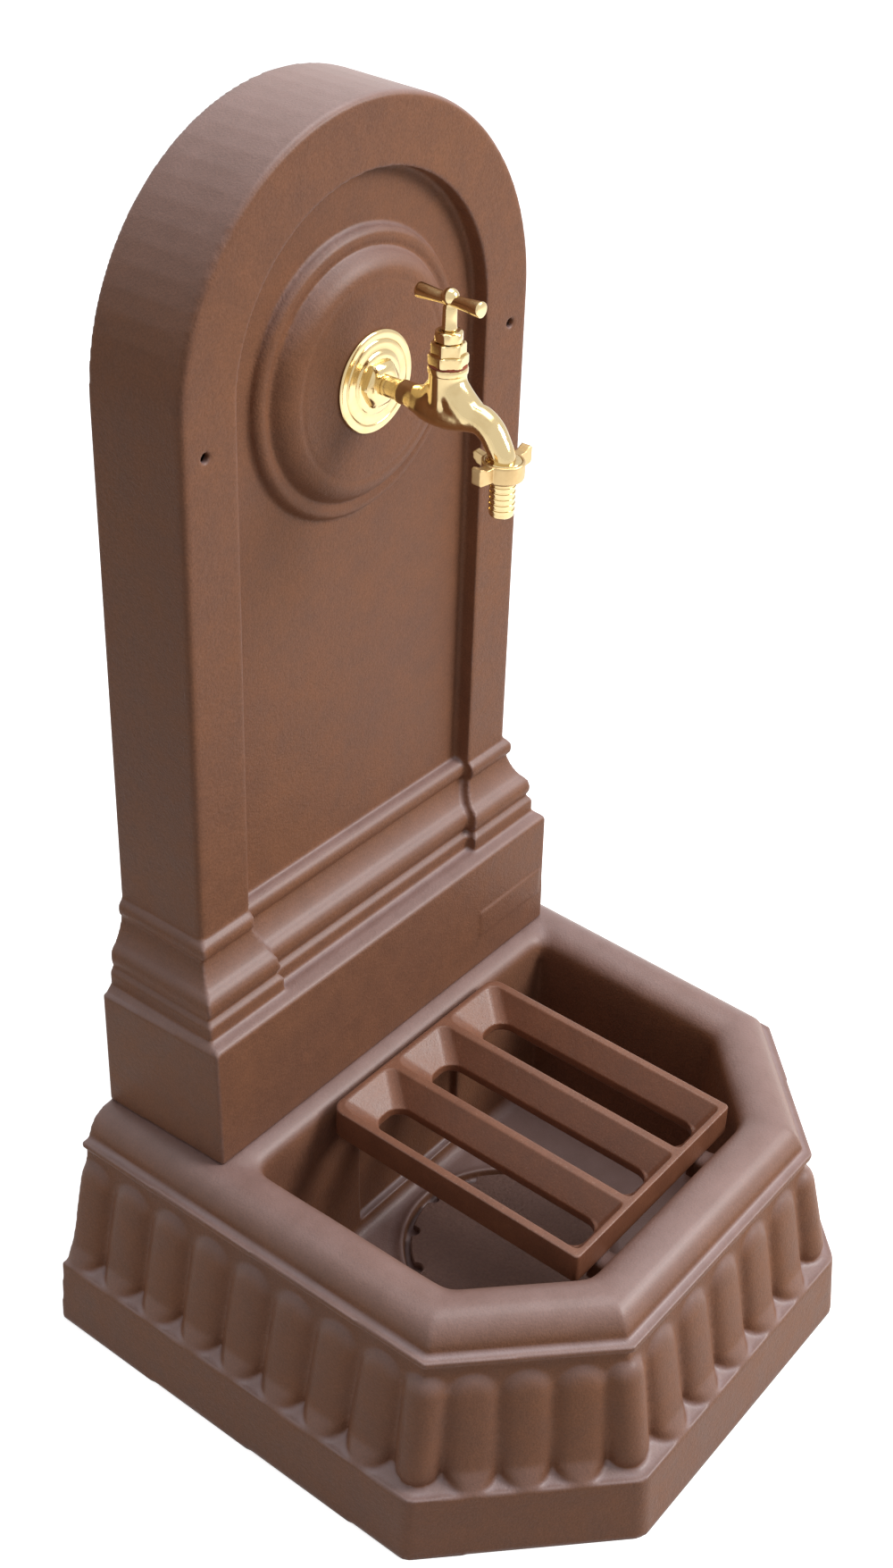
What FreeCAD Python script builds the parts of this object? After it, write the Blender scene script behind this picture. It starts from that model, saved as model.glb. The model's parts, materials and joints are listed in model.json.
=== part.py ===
import FreeCAD, Part
import math
import os

V = FreeCAD.Vector

# Millimetres. Z = 0 is the ground and X = 0 the middle plane. "fwd" is a distance forward from the
# flat back of the fountain, and the origin lies halfway between back and front.

# Basin: plan outline
basin_depth = 513.0
basin_half_back = 290.0
basin_side_taper = 7.0
basin_chamfer_x = 135.0
basin_chamfer_y = 133.0
basin_height = 202.0
basin_wall = 9.0
plinth_height = 62.0
plinth_draft = 5.8
plinth_corner_r = 16.0
plinth_ledge_in = 22.0
plinth_ledge_rise = 4.0

# Basin: body, fillet and rim, with each "in" a distance inwards from the plan outline and each
# "down" a distance below the basin's top
body_foot_z = 76.0
body_foot_in = 25.7
body_top_down = 47.0
body_top_in = 39.5
fillet_in = 36.5
fillet_low_down = 30.0
fillet_high_down = 24.0
rim_roll_r = 25.0
rim_crest_in = 70.0
rim_edge_in = 96.0
rim_edge_drop = 10.0

# Flutes: flat bars with round shoulders, a half-round top and a foot that flares to a point
lobe_half = 20.8
lobe_flat = 10.5
lobe_crown = 0.9
lobe_shoulder = 8.0
lobe_deep = 12.5
lobe_low_z = 86.0
lobe_low_in = 18.0
lobe_high_down = 48.0
lobe_high_in = 33.0
lobe_dome_down = 59.0
lobe_foot_z = 78.0
lobe_toe_run = 18.3
lobe_toe_out = 6.2
lobe_toe_flat = 5.5
lobe_toe_deep = 11.0
lobe_toe_back = 2.0
lobe_side_pitch = 44.5
lobe_front_count = 5
lobe_chamfer_count = 3
lobe_side_count = 8

# Round posts on the plan's corners, with a domed top and a round toe
post_r = 17.5
post_deep = 15.5
post_dome_down = 53.0
post_toe_run = 14.0
post_toe_in = 8.0
post_buried = 6.0

# Bowl
floor_z = 24.0
bowl_draft = 6.0
bowl_floor_r = 12.0
rear_lip_crest = 124.0
rear_lip_edge = 144.0
rear_wall_draft = 3.0
niche_half = 67.0
niche_deep = 5.0
niche_top_down = 16.0

# Drain in the bowl's floor
drain_fwd = 258.0
drain_cover_r = 85.0
drain_cover_thick = 8.0
drain_gap = 5.0
drain_ring_w = 5.0
drain_seat_z = 20.5
drain_pad_h = 1.5
drain_pad_r = 4.0
drain_pad_count = 6
drain_notch_count = 12
drain_notch_r = 5.0
drain_pipe_r = 55.3
drain_spigot_wall = 6.0
drain_spigot_end = 3.0

# Bucket grate and the lugs that carry it
grate_corner_out = 1.4
grate_rear_gap = 4.5
grate_front_gap = 12.0
grate_h = 28.0
grate_down = 25.0
grate_rear_r = 12.0
grate_front_r = 4.0
grate_pocket_count = 3
grate_bar = 7.0
grate_end_bar = 5.0
grate_pocket_r = 10.0
grate_slot_in = 15.5
grate_slot_end_in = 22.0
grate_slot_deep = 8.0
grate_slot_r = 13.0
lug_x = 72.0
lug_w = 20.0
lug_h = 22.0
lug_bearing = 9.0

# Upright: body, arch and sunk panel
stele_half = 191.5
stele_half_rear = 193.0
stele_depth = 88.0
stele_wall = 7.0
arch_z = 828.5
front_edge_r = 5.0
panel_half = 138.5
panel_deep = 15.0

# Upright: plinth and the mouldings above it, with each projection from the body's face
pedestal_top = 316.0
pedestal_front_draft = 2.5
pedestal_splay = 5.5
mould_top = 399.0
bead_low = 382.0
ogee_turn_z = 360.0
ogee_low = 342.0
cove_z = 339.0
band_high = 333.0
band_low = 321.0
shelf_z = 318.5
front_bead = 6.0
front_neck = 2.5
front_ogee = 21.5
front_cove = 18.0
front_band = 23.5
front_shelf = 33.0
front_foot = 35.5
side_bead = 4.5
side_neck = 2.0
side_ogee = 16.0
side_cove = 13.5
side_band = 17.5
side_shelf = 20.8
side_foot = 22.5
mould_setback = 9.0
pilaster_wrap = 14.5

# Ring boss round the tap, with each "out" a distance out of the panel
tap_z = 810.0
boss_r = 113.0
crest_r = 103.5
crest_out = 8.0
valley_r = 98.0
valley_out = 6.0
step_r = 79.5
disc_r = 75.0
disc_out = 19.5
boss_hollow_r = 68.0

# Blank tablet low on the plinth's front
tablet_w = 88.0
tablet_h = 25.0
tablet_thick = 1.2
tablet_x = 162.5
tablet_z = 248.0

# Holes in the upright's front margin, for screws into a wall behind
anchor_x = 169.5
anchor_z = 805.0
anchor_r = 4.0

# Rear cover and its screws
cover_recess = 3.0
cover_thick = 3.0
cover_gap = 1.0
cover_foot_gap = 2.0
cover_lug_z = (345.0, 600.0, 850.0)
cover_lug_w = 18.0
cover_lug_len = 14.0
cover_screw_r = 3.0
cover_screw_in = 11.0
cover_head_r = 5.0
cover_head_h = 2.5

# Bolts that hold the upright on the basin
foot_x = 174.0
foot_fwd = (32.0, 94.0)
foot_flange_w = 60.0
foot_flange_h = 10.0
bolt_r = 5.0
bolt_hole_clear = 0.5
bolt_head_af = 17.0
bolt_head_h = 6.4
bolt_nut_h = 8.4
bolt_past_nut = 3.0
washer_r = 10.0
washer_thick = 2.0

# Tap: lengths from the boss's flat face, heights from the inlet's axis
rosette_r = 40.0
rosette_thick = 5.0
inlet_thread_r = 10.45
inlet_bore = 6.0
inlet_in = 32.0
inlet_shoulder = 11.5
collar_af = 33.4
collar_thick = 6.5
neck_r = 8.0
neck_end = 24.0
tube_r = 8.8
barrel_out = 68.25
barrel_r = 13.75
barrel_foot_r = 14.5
barrel_foot_up = 2.0
barrel_collar_r = 14.5
barrel_collar_h = 6.0
barrel_top_up = 33.5
chamber_r = 11.0
seat_up = 9.0
seat_hole_r = 5.0
spout_r = 8.4
spout_bore = 5.6
spout_out = 53.25
spout_rise = 9.5
spout_bend_out = 32.0
spout_drop = 10.0
spout_bend_r = 13.0
outlet_up = -23.0
outlet_ring_r = 11.0
outlet_ring_h = 3.0
outlet_thread_r = 13.2
outlet_thread_len = 8.0

# Tap: headwork and handle
bonnet_hex_af = 26.0
bonnet_hex_h = 8.0
bonnet_top_af = 22.6
bonnet_top_h = 9.0
bonnet_spigot_len = 8.0
bonnet_washer_h = 1.0
gland_stub_r = 7.2
gland_stub_h = 5.0
gland_af = 19.0
gland_h = 8.5
packing_r = 5.9
packing_h = 5.0
spindle_r = 4.0
spindle_thread_r = 6.5
spindle_thread_h = 9.0
handle_shank_r = 5.25
handle_shank_h = 17.0
handle_ball_r = 6.25
handle_ball_up = 84.0
handle_bar_len = 57.0
handle_bar_up = 82.2
handle_bar_r = 3.6
handle_bar_end_r = 5.8
handle_gap = 0.4
valve_r = 9.0
valve_disc_h = 3.0
valve_washer_h = 3.0
valve_stem_r = 2.5
valve_lift = 5.0

# Tap: hose union
union_r = 16.0
union_h = 15.0
union_lip_h = 2.5
union_wing_reach = 29.0
union_wing_thick = 7.0
union_wing_turn = 2.0
union_seal_h = 2.0
tail_flange_r = 12.3
tail_flange_h = 3.0
tail_r = 9.2
tail_barb_r = 9.9
tail_barb_count = 5
tail_len = 28.5
tail_bore = 6.5

# Parts behind the boss that hold the tap
back_washer_r = 18.0
back_washer_h = 2.0
back_nut_af = 30.0
back_nut_h = 8.0

# Supply line and stop valve
supply_fwd = 45.0
pipe_r = 7.5
pipe_bore = 6.5
socket_wall = 3.5
socket_deep = 14.0
elbow_r = 13.8
elbow_drop = 32.0
stop_z = 330.0
stop_half = 30.0
stop_body_r = 16.0
stop_body_half = 18.0
stop_ball_r = 10.5
stop_ball_gap = 0.3
stop_seat_h = 3.0
stop_stem_r = 3.5
stop_neck_r = 8.0
stop_neck_fwd = 24.0
lever_fwd = 17.0
lever_w = 12.0
lever_thick = 3.0
lever_len = 62.0
stop_nut_af = 12.0
stop_nut_h = 4.0
coupler_end_z = 10.0
coupler_r = 13.0
coupler_thread_r = 9.3
coupler_thread_len = 18.0
grommet_hole_r = 20.0
grommet_flange_r = 24.0
grommet_flange_h = 2.5
clip_z = (480.0, 650.0)
clip_wall = 2.4
clip_w = 12.0
clip_plate_w = 40.0
clip_plate_thick = 2.0
clip_screw_x = 14.0
clip_screw_r = 2.0
clip_screw_in = 5.0
clip_head_r = 3.6
clip_head_h = 2.2

# Fits: what turns or slides, what is screwed together, and loose covers of holes
run_fit = 0.08
thread_fit = 0.05
hole_fit = 0.3

# Worked out from the sizes above
back_y = basin_depth / 2
far = 700.0
basin_half_side = basin_half_back - basin_side_taper
basin_side_run = basin_depth - basin_chamfer_y
basin_half_front = basin_half_side - basin_chamfer_x
rim_z = basin_height - rim_roll_r
body_top_z = basin_height - body_top_down
fillet_low = basin_height - fillet_low_down
fillet_high = basin_height - fillet_high_down
lobe_high_z = basin_height - lobe_high_down
lobe_dome_z = basin_height - lobe_dome_down
post_dome_z = basin_height - post_dome_down
niche_top = basin_height - niche_top_down
grate_z = basin_height - grate_down
deck_low = basin_height - basin_wall
chamfer_turn = math.atan(basin_chamfer_y / basin_chamfer_x)
grate_half = basin_half_front - rim_edge_in * math.tan(chamfer_turn / 2) + grate_corner_out
grate_fwd = rear_lip_edge + grate_rear_gap
grate_len = basin_depth - rim_edge_in - grate_front_gap - grate_fwd
panel_fwd = stele_depth - panel_deep
panel_inner = panel_fwd - stele_wall
disc_fwd = panel_fwd + disc_out
disc_inner = disc_fwd - stele_wall
pedestal_fwd = stele_depth + front_foot
barrel_fwd = disc_fwd + barrel_out
spout_fwd = barrel_fwd + spout_out
barrel_top = tap_z + barrel_top_up
bonnet_z = barrel_top + bonnet_washer_h
bonnet_mid = bonnet_z + bonnet_hex_h
gland_z = bonnet_mid + bonnet_top_h
seat_z = tap_z + seat_up
outlet_z = tap_z + outlet_up
outlet_end = outlet_z - outlet_thread_len
cover_front = cover_recess + cover_thick
inner_half = stele_half - stele_wall


# A point by its distance forward from the back plane
def at(x, fwd, z):
    return V(x, back_y - fwd, z)


def box(x0, x1, fwd0, fwd1, z0, z1):
    return Part.makeBox(x1 - x0, fwd1 - fwd0, z1 - z0, at(x0, fwd1, z0))


def rod(r, start, end):
    return Part.makeCylinder(r, (end - start).Length, start, end - start)


def tube(r, bore, start, end):
    return rod(r, start, end).cut(rod(bore, start, end))


# A wire: (a, b) is reached straight, and (a, b, c, d) by an arc through (c, d)
def outline(items, place):
    edges = []
    here = items[0][:2]
    for item in items[1:] + [items[0][:2]]:
        there = item[:2]
        if len(item) == 4:
            edges.append(Part.Arc(place(*here), place(*item[2:]), place(*there)).toShape())
        else:
            edges.append(Part.LineSegment(place(*here), place(*there)).toShape())
        here = there
    return Part.Wire(edges)


def face(items, place):
    return Part.Face(outline(items, place))


def on_circle(a, b, r, degrees):
    turn = math.radians(degrees)
    return (a + r * math.cos(turn), b + r * math.sin(turn))


# Solid of revolution about an upright axis, from (radius, height) items
def turned_up(items, x, fwd):
    section = face(items, lambda r, z: at(x + r, fwd, z))
    return section.revolve(at(x, fwd, 0), V(0, 0, 1), 360)


# Solid of revolution about an axis square to the back, from (radius, forward) items
def turned_out(items, x, z):
    section = face(items, lambda r, fwd: at(x + r, fwd, z))
    return section.revolve(at(x, 0, z), V(0, 1, 0), 360)


# Six-sided prism; "across" is one direction square to two of its flats
def hexagon(across_flats, start, end, across):
    axis = end - start
    other = axis.cross(across)
    other.normalize()
    r = across_flats / 2 / math.cos(math.pi / 6)
    corners = []
    for k in range(7):
        turn = math.radians(60 * k + 30)
        corners.append(start + across * (r * math.cos(turn)) + other * (r * math.sin(turn)))
    return Part.Face(Part.makePolygon(corners)).extrude(axis)


# Edges through points, with the inner corners rounded
def rounded(points, r):
    edges = []
    here = points[0]
    for before, corner, after in zip(points, points[1:], points[2:]):
        u = (before - corner).normalize()
        v = (after - corner).normalize()
        half = math.acos(u.dot(v)) / 2
        run = r / math.tan(half)
        middle = (u + v).normalize()
        centre = corner + middle * (r / math.sin(half))
        edges.append(Part.LineSegment(here, corner + u * run).toShape())
        arc = Part.Arc(corner + u * run, centre - middle * r, corner + v * run)
        edges.append(arc.toShape())
        here = corner + v * run
    edges.append(Part.LineSegment(here, points[-1]).toShape())
    return edges


# Round bar along points: a rod for each straight run and part of a ring for each bend
def swept(points, bend_r, r):
    pieces = []
    for edge in rounded(points, bend_r):
        start, end = edge.valueAt(edge.FirstParameter), edge.valueAt(edge.LastParameter)
        if edge.Curve.TypeId == "Part::GeomLine":
            pieces.append(rod(r, start, end))
        else:
            disc = Part.Face(Part.Wire(Part.makeCircle(r, start,
                                                       edge.tangentAt(edge.FirstParameter))))
            turn = math.degrees(edge.LastParameter - edge.FirstParameter)
            pieces.append(disc.revolve(edge.Curve.Center, edge.Curve.Axis, turn))
    return pieces[0].multiFuse(pieces[1:])


def mirrored(shape):
    return shape.mirror(V(0, 0, 0), V(1, 0, 0))


def save(name, shape):
    if shape.ShapeType != "Solid" and len(shape.Solids) == 1:
        shape = shape.Solids[0]
    shape.exportStep("parts/" + name + ".step")
    print(name, len(shape.Solids), round(shape.Volume / 1000, 2), shape.isValid())


# The five sides of the basin's plan, each as start, direction, inward normal and length
def plan_sides():
    corners = [(-basin_half_back, 0), (-basin_half_side, basin_side_run),
               (-basin_half_front, basin_depth), (basin_half_front, basin_depth),
               (basin_half_side, basin_side_run), (basin_half_back, 0)]
    sides = []
    for (x0, fwd0), (x1, fwd1) in zip(corners, corners[1:]):
        start = at(x0, fwd0, 0)
        run = at(x1, fwd1, 0) - start
        along = V(run).normalize()
        sides.append((start, along, V(-along.y, along.x, 0), run.Length))
    return sides


# What lies inside all five sides, where each side has the same (inward, height) section
def within_plan(items):
    solid = None
    for start, along, inward, length in plan_sides():
        section = face(items, lambda d, z: start - along * far + inward * d + V(0, 0, z))
        bar = section.extrude(along * (length + 2 * far))
        solid = bar if solid is None else solid.common(bar)
    return solid.common(box(-far, far, 0, far, -far, far))


# Corner of two neighbouring sides, moved inwards, and half the turn between them
def plan_corner(k, inset):
    _, along0, inward0, _ = plan_sides()[k]
    start, along1, inward1, _ = plan_sides()[k + 1]
    half = along0.getAngle(along1) / 2
    middle = (inward0 + inward1).normalize()
    return start + middle * (inset / math.cos(half)), half


def plinth_wire(inset, z):
    sides = plan_sides()
    corners = [plan_corner(k, inset)[0] for k in range(4)]
    ends = []
    for corner, side in ((corners[0], sides[0]), (corners[3], sides[4])):
        step = (back_y - corner.y) / side[1].y
        ends.append(corner + side[1] * step)
    points = [ends[0]] + corners + [ends[1]]
    edges = rounded([p + V(0, 0, z) for p in points], plinth_corner_r)
    edges.append(Part.LineSegment(ends[1] + V(0, 0, z), ends[0] + V(0, 0, z)).toShape())
    return Part.Wire(edges)


# A flute's section, left of its middle and right of it, from (across, back from its face) items
def lobe_section(flat, front, shoulder, back):
    crown_r = (flat ** 2 + lobe_crown ** 2) / (2 * lobe_crown)
    slope = math.asin(flat / crown_r)
    crown = on_circle(0, front + crown_r, crown_r, math.degrees(slope) / 2 - 90)
    edge = front + lobe_crown
    run, drop = lobe_half - flat, shoulder - edge
    bulge = math.tan((math.atan2(drop, run) - slope) / 2) / 2
    side = (flat + run / 2 + bulge * drop, edge + drop / 2 - bulge * run)
    left = [(-lobe_half, back), (-lobe_half, shoulder), (-flat, edge, -side[0], side[1]),
            (0, front, -crown[0], crown[1])]
    right = [(0, front), (flat, edge) + crown, (lobe_half, shoulder) + side, (lobe_half, back)]
    return left, right


# One flute in its own frame: its face at Y = 0, its back to +Y, and Z = 0 where its foot starts
def lobe(body_len):
    left, right = lobe_section(lobe_flat, 0, lobe_shoulder, lobe_deep)
    toe_left, toe_right = lobe_section(lobe_toe_flat, -lobe_toe_out, lobe_toe_deep,
                                       lobe_toe_deep + lobe_toe_back)
    bar = face(left + right[1:], lambda a, b: V(a, b, 0)).extrude(V(0, 0, body_len))
    toe = outline(toe_left + toe_right[1:], lambda a, b: V(a, b, -lobe_toe_run))
    foot = Part.makeLoft([toe, outline(left + right[1:], lambda a, b: V(a, b, 0))], True, True)
    dome = face(right + [(0, lobe_deep)], lambda a, b: V(a, b, body_len))
    dome = dome.revolve(V(0, 0, body_len), V(0, -1, 0), 180)
    return bar.multiFuse([foot, dome])


# A post for the plan's corners, in the same frame
def corner_post(body_len):
    toe_r = (post_toe_run ** 2 + post_toe_in ** 2) / (2 * post_toe_in)
    half = math.degrees(math.asin(post_toe_run / toe_r)) / 2
    tip_r = post_r - post_toe_in
    low = -post_toe_run - post_buried
    items = [(0, low), (tip_r, low), (tip_r, -post_toe_run),
             (post_r, 0) + on_circle(post_r - toe_r, 0, toe_r, -half), (post_r, body_len),
             (0, body_len + post_r) + on_circle(0, body_len, post_r, 45)]
    bar = face(items, lambda r, z: V(r, post_r, z)).revolve(V(0, post_r, 0), V(0, 0, 1), 360)
    return bar.common(Part.makeBox(2 * post_r, post_deep, 2 * far, V(-post_r, 0, -far)))


# Stands a flute or post on a side, leaning as the flutes' faces lean
def stand_lobe(bar, place, along, inward, stretch):
    slope = (lobe_high_in - lobe_low_in) * stretch / (lobe_high_z - lobe_low_z)
    lean = math.atan(slope)
    up = inward * math.sin(lean) + V(0, 0, math.cos(lean))
    back = inward * math.cos(lean) - V(0, 0, math.sin(lean))
    inset = lobe_low_in * stretch + (lobe_foot_z - lobe_low_z) * slope
    foot = place + inward * inset + V(0, 0, lobe_foot_z)
    bar.Placement = FreeCAD.Placement(FreeCAD.Matrix(
        along.x, back.x, up.x, foot.x,
        along.y, back.y, up.y, foot.y,
        along.z, back.z, up.z, foot.z,
        0, 0, 0, 1))
    return bar


def lobes():
    body_len = lobe_dome_z - lobe_foot_z
    sides = plan_sides()
    bars = []
    for k, count in ((0, lobe_side_count), (1, lobe_chamfer_count), (2, lobe_front_count),
                     (3, lobe_chamfer_count), (4, lobe_side_count)):
        _, along, inward, _ = sides[k]
        shift = V(inward.x, inward.y, 0) * body_foot_in
        if k == 0:
            first, step = plan_corner(0, body_foot_in)[0], along * -lobe_side_pitch
        elif k == 4:
            first, step = plan_corner(3, body_foot_in)[0], along * lobe_side_pitch
        else:
            first = plan_corner(k - 1, body_foot_in)[0]
            step = (plan_corner(k, body_foot_in)[0] - first) * (1 / (count + 1))
        for n in range(1, count + 1):
            bars.append(stand_lobe(lobe(body_len), first - shift + step * n, along, inward, 1))
    for k in range(4):
        corner, half = plan_corner(k, 0)
        along = (sides[k][1] + sides[k + 1][1]).normalize()
        inward = V(-along.y, along.x, 0)
        post = corner_post(post_dome_z - lobe_foot_z)
        bars.append(stand_lobe(post, corner, along, inward, 1 / math.cos(half)))
    keep = box(-far, far, 0, far, 0, basin_height)
    return [bar.common(keep) for bar in bars]


def basin_skin():
    roll_low = rim_crest_in - math.sqrt(rim_roll_r ** 2 - (fillet_high - rim_z) ** 2)
    ledge_z = plinth_height + plinth_ledge_rise
    cove_in = (plinth_ledge_in + body_foot_in) / 2
    neck_in = body_top_in + 2
    items = [(far, plinth_height / 2), (plinth_ledge_in / 2, plinth_height / 2),
             (plinth_ledge_in / 2, plinth_height),
             (plinth_ledge_in, ledge_z),
             (body_foot_in, body_foot_z, cove_in + 1, (ledge_z + body_foot_z) / 2 - 1),
             (body_top_in, body_top_z),
             (neck_in, fillet_low - 4),
             (fillet_in, fillet_low, neck_in - 1, fillet_low - 1.5),
             (fillet_in, fillet_high),
             (roll_low, fillet_high),
             (rim_crest_in, basin_height) + on_circle(rim_crest_in, rim_z, rim_roll_r, 135),
             (far, basin_height)]
    return within_plan(items)


# The bowl's section from a lip's crest down to the floor, as the space inside it
def bowl_items(crest, edge, draft, grow, low):
    drop = rim_edge_drop
    lip_r = ((edge - crest) ** 2 + drop ** 2) / (2 * drop)
    half = math.degrees(math.asin((edge - crest) / lip_r)) / 2
    mid = on_circle(crest, basin_height - lip_r, lip_r, 90 - half)
    foot = edge + draft
    floor_r = bowl_floor_r + grow
    if grow:
        return [(far, basin_height), (edge - grow, basin_height),
                (edge - grow, basin_height - drop), (foot - grow, low + floor_r),
                (foot - grow + floor_r, low) + on_circle(foot - grow + floor_r, low + floor_r,
                                                         floor_r, 225),
                (far, low)]
    return [(far, basin_height + far), (crest, basin_height + far), (crest, basin_height),
            (edge, basin_height - drop) + mid,
            (foot, low + floor_r),
            (foot + floor_r, low) + on_circle(foot + floor_r, low + floor_r, floor_r, 225),
            (far, low)]


def bowl(grow, low):
    sides = within_plan(bowl_items(rim_crest_in, rim_edge_in, bowl_draft, grow, low))
    rear = face(bowl_items(rear_lip_crest, rear_lip_edge, rear_wall_draft, grow, low),
                lambda fwd, z: at(-far, fwd, z)).extrude(V(2 * far, 0, 0))
    return sides.common(rear)


# The hollow under the basin, open to the ground
def basin_hollow():
    wall = basin_wall
    items = [(far, -1), (wall, -1), (wall, 0), (wall + plinth_draft * 0.8, plinth_height * 0.8),
             (body_foot_in + wall, body_foot_z - wall), (body_top_in + wall, body_top_z),
             (body_top_in + wall + 4, rim_z), (rim_crest_in + 5, deck_low), (far, deck_low)]
    space = within_plan(items).common(box(-far, far, wall, far, -2, basin_height))
    return space.cut(bowl(basin_wall, floor_z - basin_wall))


def basin_casting():
    plinth = Part.makeLoft([plinth_wire(0, 0), plinth_wire(plinth_draft, plinth_height)],
                           True, True)
    solid = plinth.fuse(basin_skin()).multiFuse(lobes())
    solid = solid.cut(bowl(0, floor_z)).cut(basin_hollow())
    cx, low = drain_fwd, floor_z - basin_wall
    recess_r = drain_cover_r + drain_gap
    cover_top = drain_seat_z + drain_pad_h + drain_cover_thick
    pan = tube(recess_r + drain_ring_w, recess_r, at(0, cx, floor_z - 1), at(0, cx, cover_top))
    under = rod(recess_r + basin_wall, at(0, cx, low - 4), at(0, cx, low + 1))
    spigot = rod(drain_pipe_r + drain_spigot_wall, at(0, cx, drain_spigot_end), at(0, cx, low))
    solid = solid.multiFuse([pan, under, spigot])
    solid = solid.cut(rod(recess_r, at(0, cx, drain_seat_z), at(0, cx, cover_top + 5)))
    solid = solid.cut(rod(drain_pipe_r, at(0, cx, 0), at(0, cx, cover_top)))
    niche = box(-niche_half, niche_half, rear_lip_edge - niche_deep, rear_lip_edge + bowl_floor_r,
                floor_z + bowl_floor_r, niche_top)
    solid = solid.cut(niche)
    lugs = []
    front_in = basin_depth - rim_edge_in
    grate_end = grate_fwd + grate_len
    for x in (-lug_x, lug_x):
        for near, end in ((rear_lip_edge - niche_deep - 2, grate_fwd + lug_bearing),
                          (grate_end - lug_bearing, front_in + 4)):
            lugs.append(box(x - lug_w / 2, x + lug_w / 2, near, end, grate_z - lug_h, grate_z))
    pads = []
    for k in range(drain_pad_count):
        px, py = on_circle(0, drain_fwd, (drain_cover_r + drain_pipe_r) / 2,
                           360 / drain_pad_count * k)
        pads.append(rod(drain_pad_r, at(px, py, drain_seat_z - 1),
                        at(px, py, drain_seat_z + drain_pad_h)))
    solid = solid.multiFuse(lugs + pads)
    for x in (-foot_x, foot_x):
        for fwd in foot_fwd:
            hole = rod(bolt_r + bolt_hole_clear, at(x, fwd, deck_low - 5),
                       at(x, fwd, basin_height + 5))
            solid = solid.cut(hole)
    return solid.cut(rod(grommet_hole_r, at(0, supply_fwd, deck_low - 5),
                         at(0, supply_fwd, basin_height + 5)))


def drain_cover():
    low = drain_seat_z + drain_pad_h
    solid = rod(drain_cover_r, at(0, drain_fwd, low), at(0, drain_fwd, low + drain_cover_thick))
    for k in range(drain_notch_count):
        x, fwd = on_circle(0, drain_fwd, drain_cover_r, 360 / drain_notch_count * (k + 0.5))
        solid = solid.cut(rod(drain_notch_r, at(x, fwd, low - 1),
                                at(x, fwd, low + drain_cover_thick + 1)))
    return solid


# Closed wire with round corners, where the front ones may be sharper than the rear ones
def rounded_rectangle(x0, x1, fwd0, fwd1, rear_r, front_r, z):
    edges = []
    for turn, r in ((1, rear_r), (-1, front_r)):
        near = fwd0 if turn == 1 else fwd1
        left, right = (x0, x1) if turn == 1 else (x1, x0)
        half = (fwd0 + fwd1) / 2
        ring = [at(left, half, z), at(left, near, z), at(right, near, z), at(right, half, z)]
        edges += rounded(ring, r)
    return Part.Wire(edges)


def bucket_grate():
    end = grate_fwd + grate_len
    top = grate_z + grate_h
    blank = Part.Face(rounded_rectangle(-grate_half, grate_half, grate_fwd, end, grate_rear_r,
                                        grate_front_r, grate_z)).extrude(V(0, 0, grate_h))
    pocket_w = (2 * grate_half - (grate_pocket_count + 1) * grate_bar) / grate_pocket_count
    slot_z = grate_z + grate_slot_deep
    for k in range(grate_pocket_count):
        x0 = -grate_half + grate_bar + k * (pocket_w + grate_bar)
        x1 = x0 + pocket_w
        fwd0, fwd1 = grate_fwd + grate_end_bar, end - grate_end_bar
        low0, low1 = x0 + grate_slot_in, x1 - grate_slot_in
        back, front = fwd0 + grate_slot_end_in, fwd1 - grate_slot_end_in / 2
        mouth = rounded_rectangle(x0, x1, fwd0, fwd1, grate_pocket_r, grate_pocket_r / 2, top)
        waist = rounded_rectangle(low0, low1, back, front, grate_pocket_r, grate_pocket_r / 2,
                                  slot_z)
        slot = rounded_rectangle(low0, low1, back, front, grate_slot_r, grate_slot_r, grate_z - 1)
        blank = blank.cut(Part.makeLoft([waist, mouth], True, True))
        blank = blank.cut(Part.Face(slot).extrude(V(0, 0, grate_slot_deep + 1.5)))
    return blank


def arch_wire(half, low, centre_z, fwd):
    items = [(-half, low), (-half, centre_z), (half, centre_z, 0, centre_z + half), (half, low)]
    return outline(items, lambda x, z: at(x, fwd, z))


def arch_solid(half, low, fwd0, fwd1):
    return Part.Face(arch_wire(half, low, arch_z, fwd0)).extrude(at(0, fwd1, 0) - at(0, fwd0, 0))


# Section of the base mouldings as (distance, height), from "inner" out to past the face
def mould_items(inner, base, bead, neck, ogee, cove, band, shelf, foot):
    turn = neck + (ogee - neck) * 0.57
    return [(inner, pedestal_top), (inner, mould_top), (base, mould_top),
            (base + neck, bead_low, base + bead, (mould_top + bead_low) / 2 + 1.5),
            (base + turn, ogee_turn_z, base + neck + (turn - neck) * 0.35,
             (bead_low + ogee_turn_z) / 2),
            (base + ogee - 1, ogee_low, base + ogee - 0.6, ogee_low + 9),
            (base + cove, cove_z), (base + band, band_high), (base + band, band_low),
            (base + shelf, shelf_z), (base + foot, pedestal_top)]


def front_items(inner, base):
    return mould_items(inner, base, front_bead, front_neck, front_ogee, front_cove, front_band,
                       front_shelf, front_foot)


def side_items(inner, base):
    return mould_items(inner, base, side_bead, side_neck, side_ogee, side_cove, side_band,
                       side_shelf, side_foot)


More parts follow.
